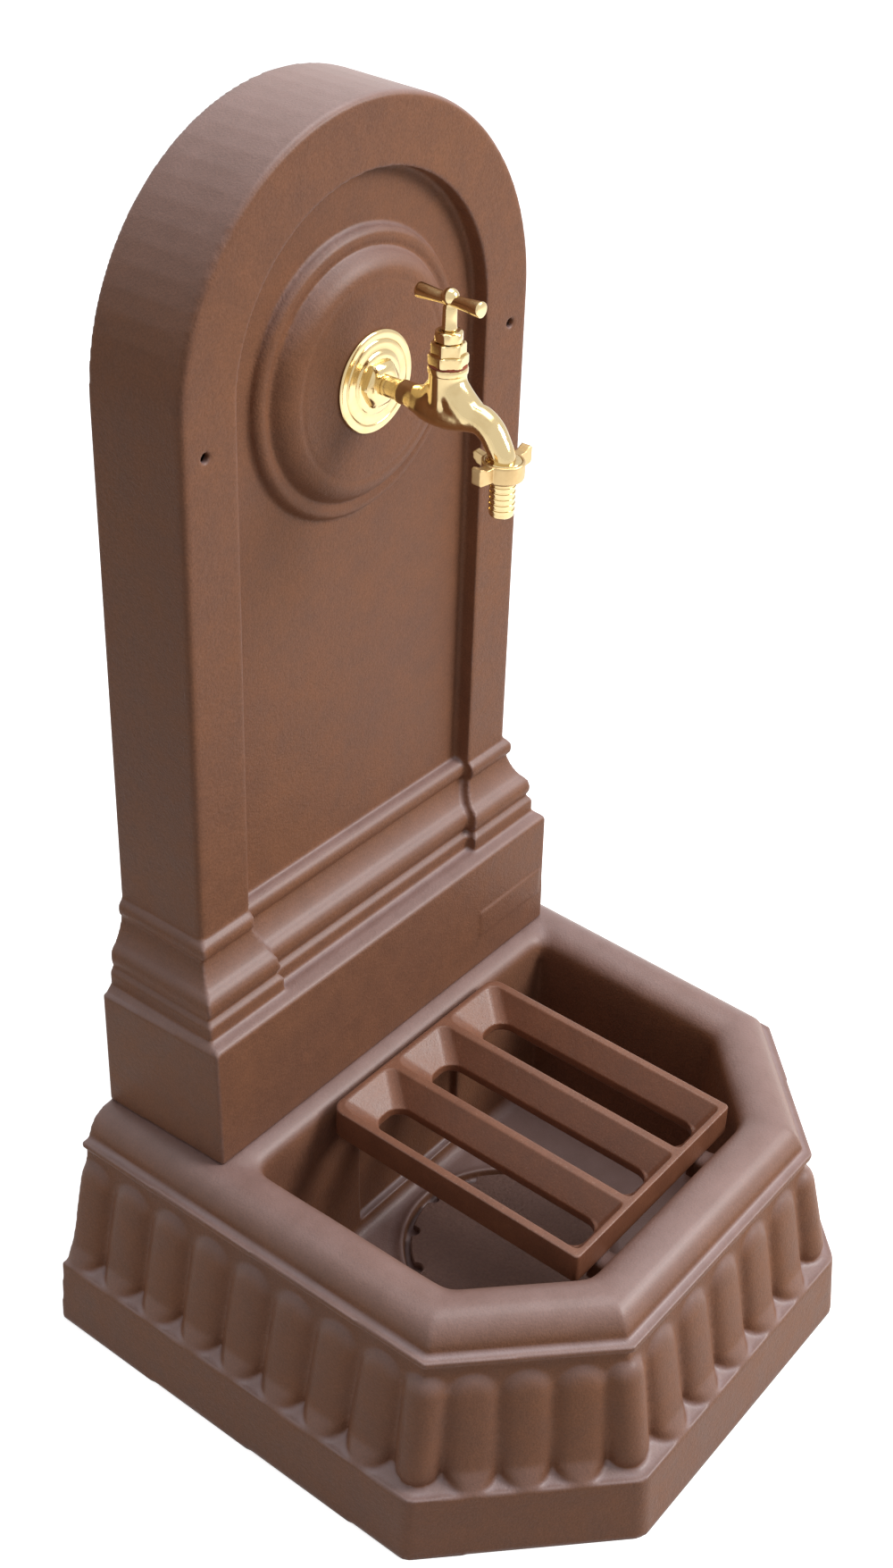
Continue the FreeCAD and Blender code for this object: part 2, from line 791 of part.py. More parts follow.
def mouldings():
    front = face(front_items(0, stele_depth), lambda f, z: at(-far, f, z))
    front = front.extrude(V(2 * far, 0, 0))
    splay = at(stele_half_rear, 0, 0) - at(stele_half, stele_depth, 0)
    side = face(side_items(-far, 0),
                lambda e, z: at(stele_half + e, stele_depth, z) - splay)
    side = side.extrude(splay * 2.0)
    block = front.common(side).common(mirrored(side))
    inner = panel_half - pilaster_wrap
    sides = [(inner, band_low), (inner, band_high), (inner + 4, cove_z), (inner + 1, ogee_low),
             (inner + 5, ogee_turn_z), (panel_half, bead_low), (panel_half, mould_top + 1)]
    sides += [(-half, z) for half, z in reversed(sides)]
    slot = face(sides, lambda x, z: at(x, 0, z)).extrude(at(0, far, 0) - at(0, 0, 0))
    block = block.cut(slot)
    middle = front_items(0, stele_depth - mould_setback)
    middle[2] = (panel_fwd, mould_top)
    inlay = face(middle, lambda f, z: at(-panel_half, f, z)).extrude(V(2 * panel_half, 0, 0))
    return block.fuse(inlay)


def pedestal():
    rear = stele_half + side_foot + pedestal_splay
    front = stele_half + side_foot
    wires = []
    for z, fwd in ((basin_height, pedestal_fwd + pedestal_front_draft),
                   (pedestal_top, pedestal_fwd)):
        corners = [at(-rear, 0, z), at(-front, fwd, z), at(front, fwd, z), at(rear, 0, z)]
        wires.append(Part.makePolygon(corners + [corners[0]]))
    return Part.makeLoft(wires, True, True)


def ring_boss():
    items = [(0, panel_fwd - 1), (boss_r, panel_fwd - 1), (boss_r, panel_fwd),
             (crest_r, panel_fwd + crest_out, boss_r - 2.2, panel_fwd + crest_out * 0.7),
             (valley_r, panel_fwd + valley_out),
             (step_r, disc_fwd, (valley_r + step_r) / 2 + 1.2, disc_fwd - 3.6),
             (step_r - 2.5, disc_fwd - 1.2), (disc_r, disc_fwd), (0, disc_fwd)]
    return turned_out(items, 0, tap_z)


def tablet():
    slope = pedestal_front_draft / (pedestal_top - basin_height)
    face_fwd = pedestal_fwd + (pedestal_top - tablet_z) * slope
    return box(tablet_x - tablet_w / 2, tablet_x + tablet_w / 2, face_fwd - 3,
               face_fwd + tablet_thick, tablet_z - tablet_h / 2, tablet_z + tablet_h / 2)


def stele_casting():
    body = Part.makeLoft([arch_wire(stele_half_rear, pedestal_top, arch_z, 0),
                          arch_wire(stele_half, pedestal_top, arch_z, stele_depth)], True, True)
    rims = [e for e in body.Edges
            if e.BoundBox.YMax < at(0, stele_depth, 0).y + 0.1 and e.BoundBox.ZMax > pedestal_top + 1]
    body = body.makeFillet(front_edge_r, rims)
    body = body.cut(arch_solid(panel_half, pedestal_top - 1, panel_fwd, stele_depth + 1))
    solid = body.multiFuse([mouldings(), pedestal(), ring_boss(), tablet()])
    side_inner = stele_half + side_foot - stele_wall
    hollow = [arch_solid(inner_half, basin_height - 1, -1, panel_inner),
              box(-side_inner, side_inner, stele_wall, pedestal_fwd - stele_wall,
                  basin_height - 1, pedestal_top - stele_wall),
              arch_solid(inner_half, mould_top, panel_inner - 1, stele_depth - stele_wall).cut(
                  arch_solid(panel_half + stele_wall, mould_top - 1, panel_inner - 2, stele_depth)),
              rod(boss_hollow_r, at(0, panel_inner - 1, tap_z), at(0, disc_inner, tap_z))]
    for tool in hollow:
        solid = solid.cut(tool)
    extra = []
    for turn in (1, -1):
        outer = turn * (side_inner + 1)
        inner = turn * (side_inner - foot_flange_w)
        extra.append(box(min(outer, inner), max(outer, inner), stele_wall - 1,
                         pedestal_fwd - stele_wall + 1, basin_height,
                         basin_height + foot_flange_h))
        for z in cover_lug_z:
            outer = turn * (inner_half + 2)
            inner = turn * (inner_half - cover_lug_w)
            extra.append(box(min(outer, inner), max(outer, inner), cover_front,
                             cover_front + cover_lug_len, z - cover_lug_w / 2,
                             z + cover_lug_w / 2))
    top = arch_z + inner_half
    extra.append(box(-cover_lug_w / 2, cover_lug_w / 2, cover_front, cover_front + cover_lug_len,
                     top - cover_lug_w, top + 3))
    solid = solid.multiFuse(extra)
    for x, z in cover_screw_places():
        solid = solid.cut(rod(cover_screw_r + thread_fit, at(x, 0, z),
                              at(x, cover_front + cover_screw_in + 1, z)))
    for x in (-foot_x, foot_x):
        for fwd in foot_fwd:
            solid = solid.cut(rod(bolt_r + bolt_hole_clear, at(x, fwd, basin_height - 2),
                                  at(x, fwd, basin_height + foot_flange_h + 5)))
    for x in (-anchor_x, anchor_x):
        solid = solid.cut(rod(anchor_r, at(x, panel_inner, anchor_z),
                              at(x, stele_depth + 1, anchor_z)))
    for z in clip_z:
        for x in (-clip_screw_x, clip_screw_x):
            solid = solid.cut(rod(clip_screw_r + thread_fit, at(x, panel_inner - 1, z),
                                  at(x, panel_inner + clip_screw_in + 0.5, z)))
    return solid.cut(rod(inlet_thread_r + hole_fit, at(0, panel_inner, tap_z),
                         at(0, disc_fwd + 1, tap_z)))


def cover_screw_places():
    reach = inner_half - cover_lug_w / 2
    places = [(turn * reach, z) for turn in (1, -1) for z in cover_lug_z[:2]]
    rise = cover_lug_z[2] - arch_z
    high = math.sqrt(reach ** 2 - rise ** 2)
    places += [(turn * high, cover_lug_z[2]) for turn in (1, -1)]
    return places + [(0, arch_z + reach)]


def rear_cover():
    plate = arch_solid(inner_half - cover_gap, basin_height + cover_foot_gap, cover_recess,
                       cover_front)
    for x, z in cover_screw_places():
        plate = plate.cut(rod(cover_screw_r + hole_fit, at(x, 0, z), at(x, cover_front + 1, z)))
    for x in (-anchor_x, anchor_x):
        plate = plate.cut(rod(anchor_r, at(x, 0, anchor_z), at(x, cover_front + 1, anchor_z)))
    return plate


def rear_cover_screws():
    screws = []
    for x, z in cover_screw_places():
        head = rod(cover_head_r, at(x, cover_recess - cover_head_h, z), at(x, cover_recess, z))
        shank = rod(cover_screw_r, at(x, cover_recess, z), at(x, cover_front + cover_screw_in, z))
        slot = box(x - cover_head_r, x + cover_head_r, 0, cover_recess - cover_head_h + 1,
                   z - 0.6, z + 0.6)
        screws.append(head.fuse(shank).cut(slot))
    return Part.makeCompound(screws)


def foot_places():
    return [(x, fwd) for x in (-foot_x, foot_x) for fwd in foot_fwd]


def base_bolts():
    bolts = []
    high = basin_height + foot_flange_h + washer_thick
    low = deck_low - washer_thick - bolt_nut_h - bolt_past_nut
    for x, fwd in foot_places():
        head = hexagon(bolt_head_af, at(x, fwd, high), at(x, fwd, high + bolt_head_h), V(0, 1, 0))
        bolts.append(head.fuse(rod(bolt_r, at(x, fwd, low), at(x, fwd, high))))
    return Part.makeCompound(bolts)


def base_washers():
    rings = []
    for x, fwd in foot_places():
        for low in (basin_height + foot_flange_h, deck_low - washer_thick):
            rings.append(tube(washer_r, bolt_r + hole_fit, at(x, fwd, low),
                              at(x, fwd, low + washer_thick)))
    return Part.makeCompound(rings)


def base_nuts():
    nuts = []
    high = deck_low - washer_thick
    for x, fwd in foot_places():
        nut = hexagon(bolt_head_af, at(x, fwd, high - bolt_nut_h), at(x, fwd, high), V(0, 1, 0))
        nuts.append(nut.cut(rod(bolt_r + thread_fit, at(x, fwd, high - bolt_nut_h - 1),
                                at(x, fwd, high + 1))))
    return Part.makeCompound(nuts)


def wall_rosette():
    low = disc_fwd
    bore = inlet_thread_r + hole_fit
    items = [(bore, low), (rosette_r, low), (rosette_r, low + 1.6),
             (rosette_r - 1.5, low + 2.4, rosette_r - 0.5, low + 2.3),
             (rosette_r - 6, low + 2.4), (rosette_r - 7, low + 1.5), (rosette_r - 9, low + 1.5),
             (rosette_r - 12, low + 3.6), (rosette_r - 18, low + rosette_thick),
             (bore, low + rosette_thick)]
    return turned_out(items, 0, tap_z)


def inlet_collar():
    low = disc_fwd + rosette_thick
    high = low + collar_thick
    prism = hexagon(collar_af, at(0, low, tap_z), at(0, high, tap_z), V(0, 0, 1))
    r = collar_af / 2 / math.cos(math.pi / 6)
    dome = turned_out([(0, low), (r, low), (r, low + 2.5),
                       (neck_r + 3.5, high, r - 2.2, high - 1.6), (0, high)], 0, tap_z)
    bore = rod(inlet_thread_r + thread_fit, at(0, low - 1, tap_z), at(0, high + 1, tap_z))
    return prism.common(dome).cut(bore)


# The spout's middle line from a starting point to an ending height
def spout_points(start, end_z):
    knee = at(0, barrel_fwd + spout_bend_out, tap_z + spout_rise)
    turn = at(0, spout_fwd, tap_z - spout_drop)
    return [start, knee, turn, at(0, spout_fwd, end_z)]


def tap_body():
    thread = rod(inlet_thread_r, at(0, disc_fwd - inlet_in, tap_z),
                 at(0, disc_fwd + inlet_shoulder, tap_z))
    neck = rod(neck_r, at(0, disc_fwd + inlet_shoulder, tap_z), at(0, disc_fwd + neck_end, tap_z))
    arm = rod(tube_r, at(0, disc_fwd + neck_end, tap_z), at(0, barrel_fwd, tap_z))
    foot_z = tap_z + barrel_foot_up
    collar_z = barrel_top - barrel_collar_h
    barrel = turned_up([(0, foot_z - barrel_foot_r),
                        (barrel_foot_r, foot_z) + on_circle(0, foot_z, barrel_foot_r, -45),
                        (barrel_r, foot_z + 7), (barrel_r, collar_z),
                        (barrel_collar_r, collar_z + 1), (barrel_collar_r, barrel_top),
                        (0, barrel_top)], 0, barrel_fwd)
    root = at(0, barrel_fwd, tap_z + 1)
    spout = swept(spout_points(root, outlet_z - 0.5), spout_bend_r, spout_r)
    ring = rod(outlet_ring_r, at(0, spout_fwd, outlet_z), at(0, spout_fwd, outlet_z + outlet_ring_h))
    outlet = rod(outlet_thread_r, at(0, spout_fwd, outlet_end), at(0, spout_fwd, outlet_z))
    solid = thread.multiFuse([neck, arm, barrel, spout, ring, outlet])
    inlet = rod(inlet_bore, at(0, disc_fwd - inlet_in - 1, tap_z), at(0, barrel_fwd, tap_z))
    throat = rod(seat_hole_r, at(0, barrel_fwd, tap_z - 3), at(0, barrel_fwd, seat_z))
    chamber = rod(chamber_r, at(0, barrel_fwd, seat_z), at(0, barrel_fwd, barrel_top + 1))
    mouth = at(0, barrel_fwd + 6, seat_z + spout_bore)
    way = swept(spout_points(mouth, outlet_end - 1), spout_bend_r, spout_bore)
    for tool in (inlet, throat, chamber, way):
        solid = solid.cut(tool)
    return solid


def bonnet():
    low = bonnet_z - bonnet_washer_h - bonnet_spigot_len
    spigot = rod(chamber_r - thread_fit, at(0, barrel_fwd, low), at(0, barrel_fwd, bonnet_z))
    lower = hexagon(bonnet_hex_af, at(0, barrel_fwd, bonnet_z), at(0, barrel_fwd, bonnet_mid),
                    V(0, 1, 0))
    upper = hexagon(bonnet_top_af, at(0, barrel_fwd, bonnet_mid), at(0, barrel_fwd, gland_z),
                    V(0, 1, 0))
    stub = rod(gland_stub_r, at(0, barrel_fwd, gland_z), at(0, barrel_fwd, gland_z + gland_stub_h))
    solid = spigot.multiFuse([lower, upper, stub])
    thread_top = low + spindle_thread_h + valve_lift + 8
    thread = rod(spindle_thread_r + run_fit, at(0, barrel_fwd, low - 1),
                 at(0, barrel_fwd, thread_top))
    bore = rod(spindle_r + run_fit, at(0, barrel_fwd, low), at(0, barrel_fwd, gland_z + 10))
    packing = rod(packing_r, at(0, barrel_fwd, gland_z - packing_h + gland_stub_h - 2),
                  at(0, barrel_fwd, gland_z + 10))
    return solid.cut(thread).cut(bore).cut(packing)


def bonnet_washer():
    return tube(barrel_collar_r - 0.5, chamber_r + thread_fit, at(0, barrel_fwd, barrel_top),
                at(0, barrel_fwd, bonnet_z))


def gland_nut():
    top = gland_z + gland_h
    prism = hexagon(gland_af, at(0, barrel_fwd, gland_z), at(0, barrel_fwd, top), V(0, 1, 0))
    r = gland_af / 2 / math.cos(math.pi / 6)
    dome = turned_up([(0, gland_z), (r, gland_z), (r, top - 2.5),
                      (gland_af / 2 - 1.5, top), (0, top)], 0, barrel_fwd)
    thread = rod(gland_stub_r + thread_fit, at(0, barrel_fwd, gland_z - 1),
                 at(0, barrel_fwd, gland_z + gland_stub_h + 0.5))
    nose = rod(packing_r - thread_fit, at(0, barrel_fwd, gland_z + gland_stub_h - 2),
               at(0, barrel_fwd, gland_z + gland_stub_h + 1))
    bore = rod(spindle_r + run_fit, at(0, barrel_fwd, gland_z - 1), at(0, barrel_fwd, top + 1))
    return prism.common(dome).cut(thread).fuse(nose).cut(bore)


def gland_packing():
    high = gland_z + gland_stub_h - 2
    return tube(packing_r - thread_fit, spindle_r + run_fit, at(0, barrel_fwd, high - packing_h),
                at(0, barrel_fwd, high))


def spindle():
    low = seat_z + valve_washer_h + valve_disc_h + 1.5
    thread_low = bonnet_z - bonnet_washer_h - bonnet_spigot_len + 1.5
    top = handle_low() + 12
    items = [(0, low), (spindle_r, low), (spindle_r, thread_low), (spindle_thread_r, thread_low),
             (spindle_thread_r, thread_low + spindle_thread_h),
             (spindle_r, thread_low + spindle_thread_h), (spindle_r, top), (0, top)]
    solid = turned_up(items, 0, barrel_fwd)
    socket = rod(valve_stem_r + run_fit, at(0, barrel_fwd, low - 1), at(0, barrel_fwd, low + 8))
    return solid.cut(socket)


def handle_low():
    return gland_z + gland_h + handle_gap


def handle_hub():
    low = handle_low()
    ball_z = tap_z + handle_ball_up
    shank_top = low + handle_shank_h
    items = [(0, low), (handle_shank_r, low), (handle_shank_r, shank_top),
             (handle_shank_r - 1.2, shank_top + 0.8), (handle_shank_r - 1.2, ball_z),
             (0, ball_z)]
    ball = Part.makeSphere(handle_ball_r, at(0, barrel_fwd, ball_z))
    solid = turned_up(items, 0, barrel_fwd).fuse(ball)
    solid = solid.cut(rod(spindle_r + thread_fit, at(0, barrel_fwd, low - 1),
                          at(0, barrel_fwd, low + 12.5)))
    bar_z = tap_z + handle_bar_up
    return solid.cut(rod(handle_bar_r + thread_fit, at(0, barrel_fwd - 10, bar_z),
                         at(0, barrel_fwd + 10, bar_z)))


def handle_bar():
    bar_z = tap_z + handle_bar_up
    half = handle_bar_len / 2
    waist = handle_ball_r + 0.5
    items = [(0, barrel_fwd - half), (handle_bar_end_r, barrel_fwd - half),
             (handle_bar_r + 0.4, barrel_fwd - waist), (handle_bar_r, barrel_fwd - waist),
             (handle_bar_r, barrel_fwd + waist), (handle_bar_r + 0.4, barrel_fwd + waist),
             (handle_bar_end_r, barrel_fwd + half), (0, barrel_fwd + half)]
    return turned_out(items, 0, bar_z)


def jumper_valve():
    low = seat_z + valve_washer_h
    disc = rod(valve_r, at(0, barrel_fwd, low), at(0, barrel_fwd, low + valve_disc_h))
    high = low + valve_disc_h + 1.5 + 7
    stem = rod(valve_stem_r, at(0, barrel_fwd, low), at(0, barrel_fwd, high))
    tail = rod(valve_stem_r, at(0, barrel_fwd, seat_z - 3), at(0, barrel_fwd, low))
    return disc.multiFuse([stem, tail])


def valve_washer():
    return tube(valve_r - 0.5, valve_stem_r + thread_fit, at(0, barrel_fwd, seat_z + 0.1),
                at(0, barrel_fwd, seat_z + valve_washer_h))


def washer_nut():
    high = seat_z + 0.1
    nut = hexagon(8, at(0, barrel_fwd, seat_z - 2.6), at(0, barrel_fwd, high), V(0, 1, 0))
    return nut.cut(rod(valve_stem_r + thread_fit, at(0, barrel_fwd, seat_z - 4),
                       at(0, barrel_fwd, high + 1)))


def union_low():
    return outlet_end - union_seal_h - tail_flange_h - union_lip_h


def union_nut():
    low = union_low()
    high = low + union_h
    shell = turned_up([(0, low), (union_r - 1, low), (union_r, low + 1.5), (union_r, high - 1.5),
                       (union_r - 1, high), (0, high)], 0, spout_fwd)
    wings = []
    for turn in (0, 180):
        wing = Part.makeBox(union_wing_reach - union_r + 3, union_wing_thick, union_h - 4,
                            V(union_r - 3, -union_wing_thick / 2, low + 2))
        tip = Part.makeBox(4, union_wing_thick, 3,
                           V(union_wing_reach - 4, -union_wing_thick / 2, low + union_h - 3))
        wing = wing.fuse(tip)
        wing.rotate(V(0, 0, 0), V(0, 0, 1), union_wing_turn + turn)
        wing.translate(at(0, spout_fwd, 0))
        wings.append(wing)
    solid = shell.multiFuse(wings)
    thread = rod(outlet_thread_r + run_fit, at(0, spout_fwd, low + union_lip_h),
                 at(0, spout_fwd, high + 5))
    lip = rod(tail_barb_r + hole_fit, at(0, spout_fwd, low - 1), at(0, spout_fwd, high))
    return solid.cut(thread).cut(lip)


def union_washer():
    return tube(tail_flange_r, tail_bore, at(0, spout_fwd, outlet_end - union_seal_h),
                at(0, spout_fwd, outlet_end))


def hose_tail():
    flange_z = outlet_end - union_seal_h - tail_flange_h
    low = union_low() - tail_len
    items = [(tail_bore, low), (tail_r - 1, low)]
    step = (tail_len - 3) / tail_barb_count
    for k in range(tail_barb_count):
        z = low + k * step
        items.append((tail_barb_r, z + step * 0.8))
        items.append((tail_r, z + step))
    top = flange_z + tail_flange_h
    items += [(tail_r, flange_z), (tail_flange_r, flange_z), (tail_flange_r, top), (tail_bore, top)]
    return turned_up(items, 0, spout_fwd)


def tap_back_washer():
    return tube(back_washer_r, inlet_thread_r + hole_fit, at(0, disc_inner, tap_z),
                at(0, disc_inner - back_washer_h, tap_z))


def tap_back_nut():
    high = disc_inner - back_washer_h
    nut = hexagon(back_nut_af, at(0, high, tap_z), at(0, high - back_nut_h, tap_z), V(0, 0, 1))
    return nut.cut(rod(inlet_thread_r + thread_fit, at(0, high + 1, tap_z),
                       at(0, high - back_nut_h - 1, tap_z)))


def elbow_low():
    return tap_z - elbow_drop


def supply_elbow():
    mouth = disc_fwd - inlet_in + socket_deep
    arm = rod(elbow_r, at(0, mouth, tap_z), at(0, supply_fwd, tap_z))
    ball = Part.makeSphere(elbow_r, at(0, supply_fwd, tap_z))
    leg = rod(pipe_r + socket_wall, at(0, supply_fwd, elbow_low()), at(0, supply_fwd, tap_z))
    solid = arm.multiFuse([ball, leg])
    thread = rod(inlet_thread_r + thread_fit, at(0, mouth + 1, tap_z),
                 at(0, disc_fwd - inlet_in - 0.5, tap_z))
    across = rod(inlet_bore, at(0, mouth, tap_z), at(0, supply_fwd, tap_z))
    down = rod(inlet_bore, at(0, supply_fwd, elbow_low() - 1), at(0, supply_fwd, tap_z))
    socket = rod(pipe_r + thread_fit, at(0, supply_fwd, elbow_low() - 1),
                 at(0, supply_fwd, elbow_low() + socket_deep + 0.3))
    knee = Part.makeSphere(inlet_bore, at(0, supply_fwd, tap_z))
    for tool in (thread, across, down, socket, knee):
        solid = solid.cut(tool)
    return solid


def supply_riser():
    return tube(pipe_r, pipe_bore, at(0, supply_fwd, stop_z + stop_half - socket_deep),
                at(0, supply_fwd, elbow_low() + socket_deep))


def coupler_top():
    return coupler_end_z + coupler_thread_len + socket_deep + 2


def supply_inlet_pipe():
    return tube(pipe_r, pipe_bore, at(0, supply_fwd, coupler_top() - socket_deep),
                at(0, supply_fwd, stop_z - stop_half + socket_deep))


def inlet_coupler():
    low, high = coupler_end_z, coupler_top()
    solid = hexagon(coupler_r * 2, at(0, supply_fwd, low), at(0, supply_fwd, high), V(0, 1, 0))
    thread = rod(coupler_thread_r, at(0, supply_fwd, low - 1),
                 at(0, supply_fwd, low + coupler_thread_len))
    way = rod(pipe_bore, at(0, supply_fwd, low), at(0, supply_fwd, high))
    socket = rod(pipe_r + thread_fit, at(0, supply_fwd, high - socket_deep - 0.3),
                 at(0, supply_fwd, high + 1))
    return solid.cut(thread).cut(way).cut(socket)


def deck_grommet():
    low = deck_low - 1
    solid = rod(grommet_hole_r - thread_fit, at(0, supply_fwd, low), at(0, supply_fwd, basin_height))
    flange = rod(grommet_flange_r, at(0, supply_fwd, basin_height),
                 at(0, supply_fwd, basin_height + grommet_flange_h))
    return solid.fuse(flange).cut(rod(pipe_r + thread_fit, at(0, supply_fwd, low - 1),
                                      at(0, supply_fwd, basin_height + 5)))


def pipe_clips():
    clips = []
    for z in clip_z:
        low, high = z - clip_w / 2, z + clip_w / 2
        r = pipe_r + clip_wall
        ring = rod(r, at(0, supply_fwd, low), at(0, supply_fwd, high))
        plate = box(-clip_plate_w / 2, clip_plate_w / 2, panel_inner - clip_plate_thick,
                    panel_inner, low, high)
        post = box(-3, 3, supply_fwd + pipe_r + 1, panel_inner - 1, z - 4, z + 4)
        clip = ring.multiFuse([plate, post])
        clip = clip.cut(rod(pipe_r + thread_fit, at(0, supply_fwd, low - 1),
                            at(0, supply_fwd, high + 1)))
        for x in (-clip_screw_x, clip_screw_x):
            clip = clip.cut(rod(clip_screw_r + hole_fit, at(x, panel_inner - 5, z),
                                at(x, panel_inner + 1, z)))
        clips.append(clip)
    return Part.makeCompound(clips)


def clip_screws():
    screws = []
    low = panel_inner - clip_plate_thick
    for z in clip_z:
        for x in (-clip_screw_x, clip_screw_x):
            head = rod(clip_head_r, at(x, low - clip_head_h, z), at(x, low, z))
            shank = rod(clip_screw_r, at(x, low, z), at(x, panel_inner + clip_screw_in, z))
            screws.append(head.fuse(shank))
    return Part.makeCompound(screws)


def stop_cavity_half():
    return stop_ball_r - 2 + stop_seat_h


def stop_valve_body():
    low, high = stop_z - stop_half, stop_z + stop_half
    legs = rod(pipe_r + socket_wall, at(0, supply_fwd, low), at(0, supply_fwd, high))
    middle = rod(stop_body_r, at(0, supply_fwd, stop_z - stop_body_half),
                 at(0, supply_fwd, stop_z + stop_body_half))
    neck = rod(stop_neck_r, at(0, supply_fwd, stop_z), at(0, stop_neck_fwd, stop_z))
    solid = legs.multiFuse([middle, neck])
    cavity = rod(stop_ball_r + stop_ball_gap, at(0, supply_fwd, stop_z - stop_cavity_half()),
                 at(0, supply_fwd, stop_z + stop_cavity_half()))
    way = rod(pipe_bore, at(0, supply_fwd, low - 1), at(0, supply_fwd, high + 1))
    solid = solid.cut(cavity).cut(way)
    solid = solid.cut(rod(stop_stem_r + run_fit, at(0, supply_fwd, stop_z),
                          at(0, stop_neck_fwd - 1, stop_z)))
    for start, end in ((low - 1, low + socket_deep + 0.3), (high - socket_deep - 0.3, high + 1)):
        solid = solid.cut(rod(pipe_r + thread_fit, at(0, supply_fwd, start),
                              at(0, supply_fwd, end)))
    return solid


def stop_valve_ball():
    ball = Part.makeSphere(stop_ball_r, at(0, supply_fwd, stop_z))
    ball = ball.cut(rod(pipe_bore, at(0, supply_fwd, stop_z - 20), at(0, supply_fwd, stop_z + 20)))
    return ball.cut(box(-1.6, 1.6, 0, supply_fwd - stop_ball_r + 2.2, stop_z - 20, stop_z + 20))


def stop_valve_seats():
    seats = []
    for turn in (1, -1):
        near = stop_z + turn * (stop_ball_r - 2)
        end = stop_z + turn * (stop_cavity_half() - 0.05)
        seats.append(tube(stop_ball_r + stop_ball_gap - 0.1, pipe_bore + 0.9,
                          at(0, supply_fwd, near), at(0, supply_fwd, end)))
    return Part.makeCompound(seats)


def stop_valve_stem():
    inner = supply_fwd - stop_ball_r - stop_ball_gap
    shaft = rod(stop_stem_r, at(0, inner, stop_z), at(0, lever_fwd - lever_thick - stop_nut_h - 1,
                                                      stop_z))
    tongue = box(-1.5, 1.5, inner - 1, supply_fwd - stop_ball_r + 2, stop_z - 3, stop_z + 3)
    return shaft.fuse(tongue)


def stop_valve_lever():
    hub = rod(8, at(0, lever_fwd - lever_thick, stop_z), at(0, lever_fwd, stop_z))
    blade = box(-lever_w / 2, lever_w / 2, lever_fwd - lever_thick, lever_fwd,
                stop_z - lever_len + lever_w / 2, stop_z)
    end = rod(lever_w / 2, at(0, lever_fwd - lever_thick, stop_z - lever_len + lever_w / 2),
              at(0, lever_fwd, stop_z - lever_len + lever_w / 2))
    bore = rod(stop_stem_r + thread_fit, at(0, 0, stop_z), at(0, lever_fwd + 1, stop_z))
    return hub.multiFuse([blade, end]).cut(bore)


def stop_valve_nut():
    high = lever_fwd - lever_thick
    nut = hexagon(stop_nut_af, at(0, high, stop_z), at(0, high - stop_nut_h, stop_z), V(0, 0, 1))
    return nut.cut(rod(stop_stem_r + thread_fit, at(0, 0, stop_z), at(0, high + 1, stop_z)))


os.makedirs("parts", exist_ok=True)
for make in (basin_casting, stele_casting, rear_cover, rear_cover_screws, base_bolts,
             base_washers, base_nuts, drain_cover, bucket_grate, wall_rosette, inlet_collar,
             tap_body, bonnet, bonnet_washer, gland_nut, gland_packing, spindle, handle_hub,
             handle_bar, jumper_valve, valve_washer, washer_nut, union_nut, union_washer,
             hose_tail, tap_back_washer, tap_back_nut, supply_elbow, supply_riser,
             supply_inlet_pipe, inlet_coupler, deck_grommet, pipe_clips, clip_screws,
             stop_valve_body, stop_valve_ball, stop_valve_seats, stop_valve_stem,
             stop_valve_lever, stop_valve_nut):
    save(make.__name__, make())
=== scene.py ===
import json
import math

import bmesh
import bpy
import numpy as np
from mathutils import Matrix, Vector


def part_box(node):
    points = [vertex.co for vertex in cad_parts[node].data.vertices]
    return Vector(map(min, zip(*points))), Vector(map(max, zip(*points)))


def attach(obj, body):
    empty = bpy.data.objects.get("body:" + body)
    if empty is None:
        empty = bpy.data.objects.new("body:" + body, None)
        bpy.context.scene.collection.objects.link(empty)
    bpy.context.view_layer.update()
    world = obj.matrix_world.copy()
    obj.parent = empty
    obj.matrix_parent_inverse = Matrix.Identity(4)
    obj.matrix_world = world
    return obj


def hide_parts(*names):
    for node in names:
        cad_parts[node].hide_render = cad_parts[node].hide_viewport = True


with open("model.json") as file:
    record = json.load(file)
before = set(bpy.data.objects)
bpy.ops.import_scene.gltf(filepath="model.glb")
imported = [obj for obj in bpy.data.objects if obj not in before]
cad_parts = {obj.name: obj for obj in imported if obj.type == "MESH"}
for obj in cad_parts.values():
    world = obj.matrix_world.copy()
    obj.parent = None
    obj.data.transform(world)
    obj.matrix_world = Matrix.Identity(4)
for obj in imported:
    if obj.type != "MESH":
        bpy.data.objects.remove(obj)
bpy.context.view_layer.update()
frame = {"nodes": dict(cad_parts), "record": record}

scene = bpy.context.scene
basinDepth = 513.0  # mm, from the flat back to the basin's front
print("frame loaded:", len(frame["nodes"]), "nodes")


# Sizes below are in mm: x from the middle plane, forward from the flat back, up from the ground
def at(x, forward, up):
    return Vector((x, basinDepth / 2 - forward, up)) / 1000


# Camera: where the photograph was taken from
cameraSet = {
    "place": (-1.0545, -0.7410, 1.4163),  # m
    "azimuth": -54.398,
    "elevation": 31.096,
    "roll": 3.35,
    "focalPixels": 2283.28,
    "centrePixel": (587.76, 735.31),
    "frame": (1000, 1755),
    "sensor": 36,
}


